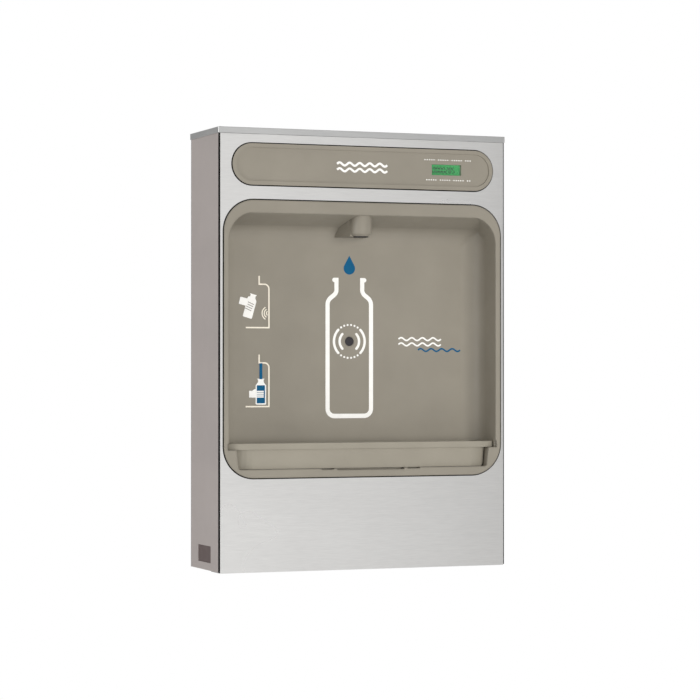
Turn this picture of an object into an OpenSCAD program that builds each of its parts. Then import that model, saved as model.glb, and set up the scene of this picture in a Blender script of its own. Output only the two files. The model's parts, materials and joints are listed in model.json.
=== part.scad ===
// Wall-mounted, sensor-operated bottle filling station.
// X runs to the right, +Y into the wall, +Z up. The origin is the centre of the wall bolt pattern,
// on the wall plane. Heights are measured from the bottom edge and depths from the panel's face.

/* [Cabinet] */
// Width across the cabinet's two sides
cab_w = 454; // [446:1:480]
// Height from the panel's bottom edge to the top of the cover
cab_h = 647; // [640:1:690]
// Depth from the wall to the front panel's face
cab_d = 131; // [129:1:145]
// Thickness of the cabinet, panel and cover sheet
sheet = 1.2; // [1:0.1:1.5]
// Thickness of the back plate
back_t = 1.5; // [1.2:0.1:2]
// Height of the cover's skirt below the top
cover_skirt = 9.2; // [8:0.2:14]
// How far the cover's skirt stands out from the two sides
cover_overhang = 1.5; // [1.5:0.1:3]
// Width of the flanges folded inwards along the cabinet's edges
flange_w = 14; // [12:1:18]

/* [Front panel] */
// Depth of the flange folded back under the cabinet
panel_return = 41; // [34:1:50]
// Depth of the hem along the panel's two sides
panel_hem = 4.4; // [3.5:0.1:4.6]
// Width of the black edge strip seen from the front
strip_w = 1.6; // [1.2:0.1:1.9]
// Distance from the panel's face to the cabinet's folded front edge
front_gap = 4.8; // [4.8:0.1:6]

/* [Header] */
// Height of the round-ended opening for the header
header_h = 63.6; // [60:0.2:66]
// From the cabinet's side to the end of the opening
header_side = 18.3; // [16:0.1:26]
// From the top of the cover to the opening
header_top = 21.4; // [20:0.1:24]
// Width of the raised border round the header's dish
header_rim = 5.8; // [4:0.1:8]
// Depth of the dish below the border
header_dish = 2.2; // [1.6:0.1:4]
// How far the header stands out from the panel
header_proud = 2; // [1:0.1:3]

/* [Display] */
// Width of the display window
window_w = 48; // [40:1:54]
// Height of the display window
window_h = 16; // [12:0.5:20]
// From the opening's right end to the centre of the window
window_in = 76.5; // [70:0.5:86]

/* [Alcove] */
// From the cabinet's side to the alcove's opening
alcove_side = 5.2; // [5:0.1:9]
// From the top of the cover to the opening
alcove_top = 103.6; // [103:0.2:112]
// From the panel's bottom edge to the opening
alcove_bottom = 135.4; // [132:0.2:145]
// Corner radius of the opening in the panel
alcove_corner = 48; // [42:1:54]
// How far the alcove's rim stands out from the panel
rim_proud = 1.5; // [0.5:0.1:2]
// Width of the rim at the two sides
rim_side = 9.5; // [8.5:0.1:14]
// Height of the rim above the alcove's ceiling
rim_top = 20.4; // [16:0.2:24]
// Corner radius of the alcove's mouth
mouth_corner = 40; // [34:1:44]
// Depth of the alcove behind the panel's face
recess_d = 62; // [58:1:66]
// Fall of the ceiling towards the back, in degrees
ceiling_fall = 19; // [10:1:22]
// Radius of the curve between ceiling and back wall
cove_r = 30; // [24:1:36]
// Radius of the curve between side and back walls
side_r = 30; // [24:1:36]
// Wall thickness of the moulding
wall = 3; // [2.5:0.1:3.4]

/* [Bottle tray] */
// Height of the tray's ledge above the opening's lower edge
ledge_rise = 42.7; // [38:0.1:48]
// Width of the ledge that the tray slides on
ledge_w = 11.6; // [9:0.1:14]
// Height of the sill below the sump
sill_h = 14.1; // [11:0.1:17]
// Thickness of the tray's lip
lip_h = 8.8; // [6:0.1:10]
// Set-back of the apron below the lip
apron_set = 4; // [3:0.1:6]
// Radius of the curve at the ends of the tray's front, seen from above
tray_corner = 40; // [34:1:46]
// Angle that this curve turns before it meets the alcove's side, in degrees
tray_turn = 40; // [30:1:45]
// Length of the middle drain slot under the apron
slot_w = 107; // [90:1:130]
// Length of the short slot at each end of it
slot_end_w = 20; // [12:1:24]
// Centre of the slots to the right of the middle
slot_x = 9.5; // [0:0.5:12]

/* [Nozzle] */
// Radius of the nozzle cover's nose
nose_r = 16.5; // [15:0.1:16.6]
// Depth of the nozzle's axis behind the panel's face
nozzle_d = 16.6; // [16.6:0.2:19]
// Height of the nozzle cover's underside below the ceiling's front edge
nozzle_drop = 30.5; // [28:0.5:33]

/* [Sensor and print] */
// Height of the sensor above the tray, as a share of the height that the print has
sensor_share = 0.577; // [0.55:0.01:0.6]
// Radius of the sensor's window
sensor_r = 6.7; // [6:0.1:7.5]
// Width of the printed bottle
bottle_w = 76.8; // [70:0.2:84]
// Height of the printed bottle, as a share of the height that the print has
bottle_share = 0.81; // [0.77:0.01:0.84]
// Line width of the printed bottle
bottle_line = 6.6; // [5:0.1:8]

/* [Wall fixing] */
// From the cabinet's sides to the wall holes
wall_hole_side = 23.8; // [22:0.2:29]
// From the top and the bottom to the wall holes
wall_hole_end = 69.5; // [63:0.5:84]
// Radius of the wall holes
wall_hole_r = 4.5; // [3.5:0.1:5.5]

/* [Water and drain] */
// Radius of the water tubes
tube_r = 4.76; // [4:0.02:5]
// Radius of the bore that takes the supply tube
inlet_r = 4.85; // [4.5:0.05:5.2]
// Outer radius of the drain pipe
drain_r = 15.9; // [14:0.1:17]
// Radius of the electrical knockout in the back plate
knockout_r = 11.1; // [9:0.1:12]

/* [Hidden] */
$fn = 64;

cut = 1;          // overrun of every cut past the face that it opens
touch = 0.05;     // gap between pieces that rest on each other
fit = 0.3;        // gap between pieces that move or slide past each other

// Cabinet
half_w = cab_w / 2;
bottom_z = -cab_h / 2;
top_z = cab_h / 2;
front_y = -cab_d;
shell_z0 = bottom_z + sheet + touch;
shell_z1 = top_z - sheet - touch;
shell_y0 = front_y + front_gap;
shell_y1 = -back_t - touch;
blank_y0 = -92.4;         // the side opening's front and rear edge
blank_y1 = -34.5;
blank_rise = 12.3;        // its lower edge above the panel's bottom edge
blank_h = 24.5;
blank_lap = 4;
blank_step = 0.7;
rough_x0 = -45;           // the opening in the back plate for the pipes
rough_side = 42;          // from that opening to the cabinet's right side
rough_x1 = half_w - rough_side;
rough_rise = 32;
rough_h = 90;
knockout_share = 6 / 13;  // its place between that opening and the power supply
knockout_rise = 52;
wall_pitch_x = cab_w - wall_hole_side * 2;
wall_pitch_z = cab_h - wall_hole_end * 2;
screw_r = 2;
screw_head_r = 4;
screw_head_h = 2;
cover_screw_in = 7.5;
cover_screw_y = [-30, -100];
panel_screw_in = 47;
panel_screw_x = half_w - panel_screw_in;
panel_screw_d = 28;
panel_screw_n = 3;
screw_len = 12;
panel_half = half_w - strip_w;
cover_z0 = top_z - cover_skirt;
panel_z1 = cover_z0 - fit;
panel_tab_in = 77;
panel_tab_x = half_w - panel_tab_in;
panel_tab_w = 30;
panel_tab_h = 5;

// Studs that hold the mouldings on the panel
stud_r = 2;
stud_len = 10;
nut_r = 4;
nut_h = 3.2;
stud_fit = 0.2;

// Mouldings' rims behind the panel
gap = 1.6;                // gap between the panel's cut edge and the moulding
gasket_t = 1;
seal_gap = 0.25;          // between the gasket's lip and the panel's cut edge
seal_proud = 0.8;         // how far that lip stands out from the panel
lap_t = 2.5;              // thickness of the lap behind the panel
gasket_y0 = front_y + sheet;
lap_y0 = gasket_y0 + gasket_t;
lap_y1 = lap_y0 + lap_t;

// Header
header_half = half_w - header_side;
header_r = header_h / 2;
header_z = top_z - header_top - header_r;
header_lap = 6;
header_lap_end = 7;
header_stud_in = 3.5;
window_x = header_half - window_in;
dish_y = front_y - header_proud + header_dish;
header_floor_y1 = lap_y1;
lens_t = 1.5;
lens_set = 1.2;

// Alcove
alcove_half = half_w - alcove_side;
alcove_z0 = bottom_z + alcove_bottom;
alcove_z1 = top_z - alcove_top;
rim_lap_side = 1.8;
rim_lap_end = 10;
rim_lap_r = 12;
alcove_stud_in = 5.5;
alcove_stud_end = 71.8;
alcove_stud_x = [-1, 0, 1] * (alcove_half - alcove_stud_end);
room_half = alcove_half - rim_side;
room_top = alcove_z1 - rim_top;
recess_y = front_y + recess_d;
ledge_z = alcove_z0 + ledge_rise;
sump_z = alcove_z0 + sill_h;
sump_draft = 3.3;
sump_top_half = room_half - ledge_w;
sump_low_half = sump_top_half - sump_draft;
sump_corner = 4;
sump_lean = atan(sump_draft / (ledge_z - sump_z));
notch_over = 2;           // how far the rim is cut back round the tray's lip
notch_deep = 5;
notch_clear = 0.6;
cove_blend = 0.15;        // the flat ceiling lies this much below the curve's tangent
cove_y = recess_y - cove_r;
cove_z = room_top - tan(ceiling_fall) * (cove_y - front_y) - cove_r / cos(ceiling_fall);

// Tray
tray_z0 = ledge_z + fit;
tray_z1 = tray_z0 + lip_h;
tray_half = room_half - fit * 2;
tray_y0 = front_y + fit;
tray_y1 = recess_y - fit * 2;
tray_skin = 3;
tray_edge = 5;
dish_in = 16;
dish_deep = 1.4;
tray_slots = 8;
tray_slot_w = 5;
tray_slot_pitch = 26;
apron_t = 3;
apron_gap = 1;            // between the apron's ends and the sump's sides
apron_half = sump_top_half - apron_gap;
apron_y0 = tray_y0 + apron_set;
apron_y1 = apron_y0 + tray_corner * (1 - cos(tray_turn)) + apron_t;
apron_z0 = sump_z + fit;
apron_chamfer = 3.2;
slot_h = 2.3;
slot_end_h = 1.6;
slot_run = 1;             // how far the slots go on behind the apron
slot_gap = 5;             // between the middle slot and each short one

// Height that the print has between the tray and the curve below the ceiling
drop_h = 28.2;
drop_rise = 5;            // of the drop above the bottle
print_h = cove_z - tray_z1 - drop_h - drop_rise;

// Drain
drain_set = 30;           // distance of the drain in front of the alcove's back wall
drain_y = recess_y - drain_set;
drain_fitting_wall = 2;
drain_bore = drain_r - drain_fitting_wall;
drain_flange_r = 23;
drain_flange_t = 2;
drain_stem = 21.5;
drain_nut_r = 22;
drain_nut_h = 7;
drain_rise = 96;          // height of the drain's outlet
drain_wall = 1.5;
drain_end = 6;            // distance of its open end from the wall
drain_pin = 69;           // length of the plain end that a slip joint goes over
elbow_t = 2.6;            // thickness of the elbow over the pipe
elbow_r = drain_r + elbow_t;
slip_nut_r = 20.4;
slip_nut_h = 14;
strainer_r = 2.2;

// Nozzle
nozzle_y = front_y + nozzle_d;
nozzle_z0 = room_top - nozzle_drop;
nozzle_flare = 11.3;      // half angle at which the cover widens to the back
cover_wall = 2.4;
nose_bevel_w = 4.6;
nose_bevel_h = 3.6;
flank_set = 0.5;
nozzle_pipe_rise = 13;
nozzle_pipe_z = nozzle_z0 + nozzle_pipe_rise;
nozzle_body_r = 8.6;
nozzle_pipe_r = 5;
nozzle_bore = 3.2;
boss_r = 10;
boss_deep = 4;
boss_y = recess_y + wall + boss_deep;
nozzle_nut_r = 10;
nozzle_nut_h = 5;
connector_r = 8;
connector_h = 14;
connector_gap = 1;
connector_y0 = boss_y + nozzle_nut_h + connector_gap + touch;
aerator_r = 6.4;
aerator_h = 5;
aerator_out = 1.4;
aerator_flange_r = 11;
nozzle_body_top = 8.5;

// Sensor
sensor_z = tray_z1 + sensor_share * print_h;
sensor_body_r = 9;
sensor_body_h = 24;
sensor_boss_r = 12;
sensor_boss_h = 14;
sensor_nut_r = 16;
sensor_nut_gap = 4;
sensor_cap_t = 2;
sensor_window_t = 2;
sensor_set = 0.4;
sensor_y1 = recess_y + wall + sensor_body_h;
sensor_nut_y1 = sensor_y1 + touch + sensor_cap_t;
cable_r = 2.2;
cable_bend = 8;
cable_lane_y = -9;

// Display and control board
lcd_margin_x = 7;
lcd_margin_z = 5;
lcd_glass_t = 2;
board_gap = 8.3;
board_t = 1.6;
board_left = 70.2;        // from the window's centre to the board's ends
board_right = 59.8;
board_x0 = window_x - board_left;
board_x1 = window_x + board_right;
board_drop = 24;          // from the header's middle to the board's edges
board_y0 = header_floor_y1 + board_gap;
board_y1 = board_y0 + board_t;
board_screw_in = 5;
board_boss_r = 3.2;
board_screw_r = 1.3;
board_screw_head = 2.6;
board_screw_head_h = 1.8;
plug_deep = 10;
connector_y = board_y1 + plug_deep;
plug_w = 12;
plug_h = 9;
switch_in = 20;
switch_x = board_x1 - switch_in;
switch_w = 9;
switch_h = 8;
switch_rise = 10;
button_r = 2.4;
button_stem = 5;
button_out = 4;

// Water line behind the alcove
line_y = -29;
stop_in = 35;             // from that opening's right end to the stop valve
stop_x = rough_x1 - stop_in;
stop_rise = 62;
stop_body_r = 9;
stop_y0 = -60;
stop_y1 = -14;
stop_outlet_r = 7;
stop_outlet_h = 26;
inlet_nut_r = 11;
inlet_nut_y = -4;
inlet_deep = 10;
water_bore = 3;
lever_hub_r = 8;
lever_t = 6;
lever_len = 36;
lever_w = 10;
lever_stem_r = 3.5;
lever_stem = 7;
lever_hub_h = 10;
regulator_rise = 100;
regulator_h = 40;
regulator_r = 11;
regulator_boss_r = 6.5;
regulator_boss = 8;
adjuster_r = 4;
adjuster_len = 7;
adjuster_slot = 1.2;
clip_t = 2;
clip_w = 12;
port_r = 7.5;
port_len = 8;
port_deep = 6;
valve_share = 2 / 3;      // the solenoid valve's place between the middle and the stop valve
valve_x = stop_x * valve_share;
coil_cable_in = 40;
coil_cable_x = valve_x + coil_cable_in;
valve_rise = 213;
valve_half = 20;
valve_hy = 14;
valve_h = 24;
coil_half = 15;
coil_h = 30;
coil_lift = 3;
armature_r = 6;
armature_bore = 4.6;
plunger_r = 4.3;
plunger_foot = 9;         // depth of the plunger's foot in the valve body
plunger_h = 22;
stem_r = 1.5;
stem_h = 9.4;
seat_r = 1.5;
chamber_r = 7;
feed_r = 1.2;
armature_foot = 4;
plunger_travel = 2.5;
coil_nut_r = 8;
coil_nut_h = 4;
spring_r = 3;
spring_wire = 0.7;
spring_turns = 7;
bracket_t = 1.8;
bracket_half = 17;
bracket_drop = 30;
tube_x = 30;
tube_bend = 12;

// Power supply
power_side = 37;          // distance from the cabinet's left side
power_w = 80;
power_x0 = -half_w + power_side;
power_x1 = power_x0 + power_w;
knockout_x = rough_x0 + (power_x1 - rough_x0) * knockout_share;
power_rise = 30;
power_h = 80;
power_d = 40;
power_wall = 1.5;
power_lid_t = 1.2;
core_w = 44;
core_h = 40;
core_d = 26;
power_cable_y = -20;
clip_pad = 3;
clip_len = 10;
clip_shares = [0.12, 0.4, 0.7];

// Print on the alcove's back wall
ink = 0.15;
neck_half = 20.8;
neck_h = 18;
shoulder_turn = 38;       // slope of the shoulder, in degrees
shoulder_r = 13;
neck_r = 10;
base_share = 0.134;       // height of the bottle's base above the tray
bottle_rise = base_share * print_h;
bottle_h = bottle_share * print_h;
base_r = 11;
lip_reach = 27.5;
arc_line = 3.8;
arc_r = [15.7, 24.8];
arc_half_angle = 44;
drop_r = 9.2;

// Plain shapes between two limits on each axis
module box(x0, x1, y0, y1, z0, z1) {
    translate([x0, y0, z0]) cube([x1 - x0, y1 - y0, z1 - z0]);
}
module rod_x(x0, x1, y, z, r) {
    translate([x0, y, z]) rotate([0, 90, 0]) cylinder(h = x1 - x0, r = r);
}
module rod_y(y0, y1, x, z, r) {
    translate([x, y1, z]) rotate([90, 0, 0]) cylinder(h = y1 - y0, r = r);
}
module rod_z(z0, z1, x, y, r) {
    translate([x, y, z0]) cylinder(h = z1 - z0, r = r);
}
module cone_z(z0, z1, x, y, r0, r1) {
    translate([x, y, z0]) cylinder(h = z1 - z0, r1 = r0, r2 = r1);
}
module hex_y(y0, y1, x, z, r) {
    translate([x, y1, z]) rotate([90, 0, 0]) cylinder(h = y1 - y0, r = r, $fn = 6);
}
module hex_z(z0, z1, x, y, r) {
    translate([x, y, z0]) cylinder(h = z1 - z0, r = r, $fn = 6);
}

// Outlines drawn in X and Z, Y and Z, or X and Y, and given their thickness
module front_slab(y0, y1) {
    translate([0, y1, 0]) rotate([90, 0, 0]) linear_extrude(y1 - y0) children();
}
module side_slab(x0, x1) {
    translate([x0, 0, 0]) rotate([90, 0, 90]) linear_extrude(x1 - x0) children();
}
module plan_slab(z0, z1) {
    translate([0, 0, z0]) linear_extrude(z1 - z0) children();
}
module rect(x0, x1, z0, z1) {
    translate([x0, z0]) square([x1 - x0, z1 - z0]);
}
module round_rect(x0, x1, z0, z1, r) {
    rect(x0 + r, x1 - r, z0, z1);
    rect(x0, x1, z0 + r, z1 - r);
    for (x = [x0 + r, x1 - r], z = [z0 + r, z1 - r]) translate([x, z]) circle(r);
}
module round_top(half, z0, z1, r) {
    rect(-half, half, z0, z1 - r);
    rect(-half + r, half - r, z0, z1);
    for (side = [-1, 1]) translate([side * (half - r), z1 - r]) circle(r);
}
module stadium(half, z, r) {
    rect(-half + r, half - r, z - r, z + r);
    for (side = [-1, 1]) translate([side * (half - r), z]) circle(r);
}

// A round pipe along points joined by runs that are parallel to the axes
function unit(v) = v / norm(v);
module pipe(points, r, bend) {
    last = len(points) - 1;
    for (i = [0 : last - 1]) {
        way = unit(points[i + 1] - points[i]);
        start = points[i] + (i > 0 ? bend : 0) * way;
        end = points[i + 1] - (i + 1 < last ? bend : 0) * way;
        translate(start) run(way, norm(end - start), r);
    }
    for (i = [1 : last - 1]) {
        into = unit(points[i] - points[i - 1]);
        out = unit(points[i + 1] - points[i]);
        place(points[i] + bend * (out - into), -out, into) rotate_extrude(angle = 90)
            translate([bend, 0]) circle(r);
    }
}
module run(way, length, r) {
    side = abs(way[2]) > 0 ? [1, 0, 0] : [0, 0, 1];
    place([0, 0, 0], side, cross(way, side)) linear_extrude(length) circle(r);
}
module place(at, x_way, y_way) {
    z_way = cross(x_way, y_way);
    multmatrix([
        [x_way[0], y_way[0], z_way[0], at[0]],
        [x_way[1], y_way[1], z_way[1], at[1]],
        [x_way[2], y_way[2], z_way[2], at[2]],
        [0, 0, 0, 1]
    ]) children();
}

// Back plate, which the wall bolts hold
module back_plate() {
    color("darkgray") difference() {
        box(-half_w, half_w, -back_t, 0, shell_z0, shell_z1);
        for (x = [-1, 1], z = [-1, 1])
            rod_y(-back_t - cut, cut, x * wall_pitch_x / 2, z * wall_pitch_z / 2, wall_hole_r);
        box(rough_x0, rough_x1, -back_t - cut, cut, bottom_z + rough_rise, bottom_z + rough_rise + rough_h);
        rod_y(-back_t - cut, cut, knockout_x, bottom_z + knockout_rise, knockout_r);
    }
}

// Two sides and a floor in one folded sheet, with flanges along the open edges
module cabinet_shell() {
    color("lightgray") difference() {
        union() {
            for (side = [-1, 1]) {
                mirror([side < 0 ? 1 : 0, 0, 0]) {
                    box(half_w - sheet, half_w, shell_y0, shell_y1, shell_z0, shell_z1);
                    box(half_w - flange_w, half_w, shell_y1 - sheet, shell_y1, shell_z0, shell_z1);
                    box(half_w - flange_w + sheet * 2, half_w, shell_y0,
                        shell_y0 + sheet, shell_z0, shell_z1);
                    box(half_w - flange_w, half_w, shell_y0, shell_y1, shell_z1 - sheet, shell_z1);
                }
            }
            box(-half_w, half_w, shell_y0, shell_y1, shell_z0, shell_z0 + sheet);
            box(-half_w, half_w, shell_y0, shell_y0 + sheet, shell_z0, shell_z0 + flange_w);
        }
        box(-half_w - cut, -half_w + sheet + cut, blank_y0, blank_y1,
            bottom_z + blank_rise, bottom_z + blank_rise + blank_h);
        cover_screw_places() flat_screw_hole();
        panel_screw_places() flat_screw_hole();
    }
}

module panel_screw_places() {
    for (i = [0 : panel_screw_n - 1])
        translate([
            (i * 2 / (panel_screw_n - 1) - 1) * panel_screw_x,
            front_y + panel_screw_d,
            bottom_z
        ]) children();
}

// Flat-headed screw with its head's face at z = 0 and its shank upwards
module flat_screw(length) {
    cone_z(0, screw_head_h, 0, 0, screw_head_r, screw_r);
    rod_z(0, length, 0, 0, screw_r);
}
module flat_screw_hole() {
    translate([0, 0, -touch]) cone_z(0, screw_head_h, 0, 0, screw_head_r + touch * 2, screw_r + touch * 2);
    rod_z(-cut, screw_len, 0, 0, screw_r + touch);
}

// Cover with a skirt on three sides
module top_cover() {
    x1 = half_w + cover_overhang;
    color("silver") difference() {
        box(-x1, x1, front_y, 0, cover_z0, top_z);
        box(-x1 + sheet, x1 - sheet, front_y + sheet, cut, cover_z0 - cut, top_z - sheet);
        cover_screw_places() flat_screw_hole();
    }
}
module cover_screw_places() {
    for (x = [-1, 1], y = cover_screw_y)
        translate([x * (half_w - cover_screw_in), y, top_z]) mirror([0, 0, 1]) children();
}
module cover_screws() {
    color("gray") cover_screw_places() flat_screw(screw_len);
}
module panel_screws() {
    color("gray") panel_screw_places() flat_screw(screw_len);
}

// Front panel, with the flange under the cabinet, hems and the studs on its back
module front_panel() {
    color("silver") {
        difference() {
            union() {
                box(-panel_half, panel_half, front_y, front_y + sheet, bottom_z, panel_z1);
                box(-panel_half, panel_half, front_y, front_y + panel_return, bottom_z, bottom_z + sheet);
                for (side = [-1, 1]) mirror([side < 0 ? 1 : 0, 0, 0])
                    box(panel_half - sheet, panel_half, front_y, front_y + panel_hem, bottom_z, panel_z1);
            }
            front_slab(front_y - cut, front_y + sheet + cut) {
                stadium(header_half, header_z, header_r);
                round_rect(-alcove_half, alcove_half, alcove_z0, alcove_z1, alcove_corner);
            }
            panel_screw_places() flat_screw_hole();
        }
        alcove_stud_places() rod_y(0, stud_len, 0, 0, stud_r);
        header_stud_places() rod_y(0, stud_len, 0, 0, stud_r);
        for (x = [-panel_tab_x, 0, panel_tab_x]) translate([x, front_y + sheet, panel_z1]) panel_tab();
    }
}
// Tab that reaches up behind the cover's skirt
module panel_tab() {
    box(-panel_tab_w / 2, panel_tab_w / 2, 0, sheet + touch, -panel_tab_h, 0);
    box(-panel_tab_w / 2, panel_tab_w / 2, touch, sheet + touch, -touch, panel_tab_h);
}
module alcove_stud_places() {
    for (x = alcove_stud_x, z = [alcove_z0 - alcove_stud_in, alcove_z1 + alcove_stud_in])
        translate([x, front_y + sheet, z]) children();
}
module header_stud_places() {
    for (x = [-1, 1], z = [-1, 1])
        translate([
            x * (header_half + header_lap_end - header_stud_in - stud_r),
            front_y + sheet,
            header_z + z * (header_r + header_lap - header_stud_in - stud_r)
        ]) children();
}
module nuts() {
    back = lap_y1 - gasket_y0 + touch;
    difference() {
        hex_y(back, back + nut_h, 0, 0, nut_r);
        rod_y(back - cut, back + nut_h + cut, 0, 0, stud_r + touch);
    }
}
module alcove_nuts() {
    color("dimgray") alcove_stud_places() nuts();
}
module header_nuts() {
    color("dimgray") header_stud_places() nuts();
}

// Black strip that fills the gap between the panel's edge and each side
module edge_strips() {
    color("black") for (side = [-1, 1]) mirror([side < 0 ? 1 : 0, 0, 0])
        box(panel_half + touch, half_w - touch * 2, front_y + fit, shell_y0 - touch,
            shell_z0, cover_z0 - fit);
}

// Blanking plate behind the opening in the left side
module side_blank() {
    z0 = bottom_z + blank_rise;
    inner = -half_w + sheet + touch;
    color("dimgray") {
        box(inner, inner + sheet, blank_y0 - blank_lap, blank_y1 + blank_lap, z0 - blank_lap,
            z0 + blank_h + blank_lap);
        box(-half_w + blank_step, inner + sheet, blank_y0 + fit, blank_y1 - fit,
            z0 + fit, z0 + blank_h - fit);
    }
}

// The alcove's room, grown by g on every closed side
module alcove_room(g) {
    y0 = front_y - rim_proud - cut;
    z0 = ledge_z - g;
    z1 = room_top + g;
    half = room_half + g;
    intersection() {
        front_slab(y0, recess_y + g) round_top(half, z0, z1 + cut, mouth_corner + g);
        side_slab(-half, half) ceiling_outline(g, y0, z0);
        plan_slab(z0, z1 + cut) mirror([0, 1]) round_top_at(half, -recess_y - g, -y0, side_r + g);
    }
}
// The same round-cornered outline with its round corners at the low end
module round_top_at(half, z0, z1, r) {
    rect(-half, half, z0 + r, z1);
    rect(-half + r, half - r, z0, z1);
    for (side = [-1, 1]) translate([side * (half - r), z0 + r]) circle(r);
}
module ceiling_outline(g, y0, z0) {
    r = cove_r + g;
    line_y1 = cove_y + r * sin(ceiling_fall);
    line_z1 = cove_z + r * cos(ceiling_fall) - cove_blend;
    polygon([
        [y0, z0],
        [y0, line_z1 + (line_y1 - y0) * tan(ceiling_fall)],
        [line_y1, line_z1],
        [cove_y, cove_z],
        [cove_y + r, cove_z],
        [cove_y + r, z0]
    ]);
    translate([cove_y, cove_z]) circle(r);
}

// The sump under the tray, grown by g
module sump_room(g) {
    y0 = front_y - rim_proud - cut;
    r = sump_corner + g;
    low_x = sump_low_half + sump_corner * (tan(sump_lean) - 1 / cos(sump_lean));
    side_x = low_x + r * cos(sump_lean);
    side_z = sump_z + sump_corner - r * sin(sump_lean);
    front_slab(y0, recess_y + g) {
        polygon([
            [-low_x, sump_z - g],
            [low_x, sump_z - g],
            [side_x, side_z],
            [sump_top_half + g / cos(sump_lean), ledge_z],
            [sump_top_half + g / cos(sump_lean), ledge_z + cut],
            [-sump_top_half - g / cos(sump_lean), ledge_z + cut],
            [-sump_top_half - g / cos(sump_lean), ledge_z],
            [-side_x, side_z]
        ]);
        for (side = [-1, 1]) translate([side * low_x, sump_z + sump_corner]) circle(r);
    }
}

module alcove_rim(grow, y0, y1) {
    front_slab(y0, y1) round_rect(
        -alcove_half - grow, alcove_half + grow, alcove_z0 - grow, alcove_z1 + grow, alcove_corner + grow);
}
module alcove_lap(y0, y1) {
    front_slab(y0, y1) round_rect(
        -alcove_half - rim_lap_side, alcove_half + rim_lap_side,
        alcove_z0 - rim_lap_end, alcove_z1 + rim_lap_end, rim_lap_r);
}

module alcove_shell() {
    color("tan") difference() {
        union() {
            alcove_rim(-gap, front_y - rim_proud, lap_y1);
            alcove_lap(lap_y0, lap_y1);
            intersection() {
                union() {
                    alcove_room(wall);
                    sump_room(wall);
                }
                box(-half_w, half_w, lap_y0, recess_y + wall, bottom_z, top_z);
            }
            rod_y(cove_y, boss_y, 0, nozzle_pipe_z, boss_r);
            rod_y(recess_y, recess_y + wall + sensor_boss_h, 0, sensor_z, sensor_boss_r);
            rod_z(sump_z - wall * 2, sump_z, 0, drain_y, drain_flange_r);
        }
        alcove_room(0);
        sump_room(0);
        box(-room_half - notch_over, room_half + notch_over, front_y - rim_proud - cut,
            front_y - rim_proud + notch_deep, ledge_z, tray_z1 + notch_clear);
        rod_y(recess_y - cut, recess_y + wall + cut, 0, sensor_z, sensor_r + fit);
        rod_y(recess_y + wall, recess_y + wall + sensor_boss_h + cut, 0, sensor_z, sensor_body_r + stud_fit);
        rod_y(cove_y - cut, boss_y + cut, 0, nozzle_pipe_z, nozzle_pipe_r + stud_fit);
        rod_z(sump_z - wall * 2 - cut, sump_z + cut, 0, drain_y, drain_r + stud_fit);
        alcove_stud_places() rod_y(-cut, stud_len, 0, 0, stud_r + stud_fit);
        sill_slot(slot_x, slot_w, slot_h);
        for (side = [-1, 1]) sill_slot(slot_x + side * ((slot_w + slot_end_w) / 2 + slot_gap),
            slot_end_w, slot_end_h);
    }
}
// Slot in the sill's top, through which water on the rim runs back under the apron
module sill_slot(x, w, h) {
    box(x - w / 2, x + w / 2, front_y - rim_proud - cut, apron_y0 + apron_t + slot_run,
        sump_z - h, sump_z + cut);
}
module alcove_gasket() {
    color("black") difference() {
        union() {
            alcove_lap(gasket_y0 + touch, lap_y0 - touch);
            alcove_rim(-seal_gap, front_y - seal_proud, lap_y0 - touch);
        }
        alcove_rim(-gap + touch, front_y - seal_proud - cut, lap_y0 + cut);
        alcove_stud_places() rod_y(-cut, stud_len, 0, 0, stud_r + stud_fit);
    }
}

// Pull-out tray: dished top with drain slots, lip and apron
module round_ends(half, y0, y1, front_r, back_r) {
    rect(-half, half, y0 + front_r, y1 - back_r);
    rect(-half + front_r, half - front_r, y0, y1);
    rect(-half + back_r, half - back_r, y1 - back_r * 2, y1);
    for (side = [-1, 1]) {
        translate([side * (half - front_r), y0 + front_r]) circle(front_r);
        translate([side * (half - back_r), y1 - back_r]) circle(back_r);
    }
}
module round_back(half, y0, y1, r) {
    rect(-half, half, y0, y1 - r);
    rect(-half + r, half - r, y0, y1);
    for (side = [-1, 1]) translate([side * (half - r), y1 - r]) circle(r);
}
// What the curve at each end of a front takes off a block that is half wide to each side
module front_curves(half, y0, z0, z1) {
    x = half - tray_corner * sin(tray_turn);
    for (side = [-1, 1]) mirror([side < 0 ? 1 : 0, 0, 0]) difference() {
        box(x, half + cut, y0 - cut, y0 + tray_corner * (1 - cos(tray_turn)), z0 - cut, z1 + cut);
        rod_z(z0 - cut * 2, z1 + cut * 2, x, y0 + tray_corner, tray_corner);
    }
}
module slot_outline(r, y0, y1) {
    rect(-r, r, y0 + r, y1 - r);
    for (y = [y0 + r, y1 - r]) translate([0, y]) circle(r);
}
module bottle_tray() {
    color("tan") {
        difference() {
            plan_slab(tray_z0, tray_z1) round_back(tray_half, tray_y0, tray_y1, side_r);
            front_curves(tray_half, tray_y0, tray_z0, tray_z1);
            plan_slab(tray_z0 - cut, tray_z1 - tray_skin - dish_deep)
                round_ends(tray_half - tray_edge - ledge_w, apron_y0 + apron_t, tray_y1 - tray_edge,
                    tray_corner / 2, side_r - tray_edge);
            plan_slab(tray_z1 - dish_deep, tray_z1 + cut)
                round_ends(tray_half - dish_in, tray_y0 + tray_edge, tray_y1 - tray_edge,
                    tray_corner / 2, side_r / 2);
            for (i = [0 : tray_slots - 1])
                plan_slab(tray_z0 - cut, tray_z1 + cut)
                    translate([(i - (tray_slots - 1) / 2) * tray_slot_pitch, 0])
                    slot_outline(tray_slot_w / 2, tray_y0 + dish_in, tray_y1 - dish_in);
        }
        apron();
    }
}
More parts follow.
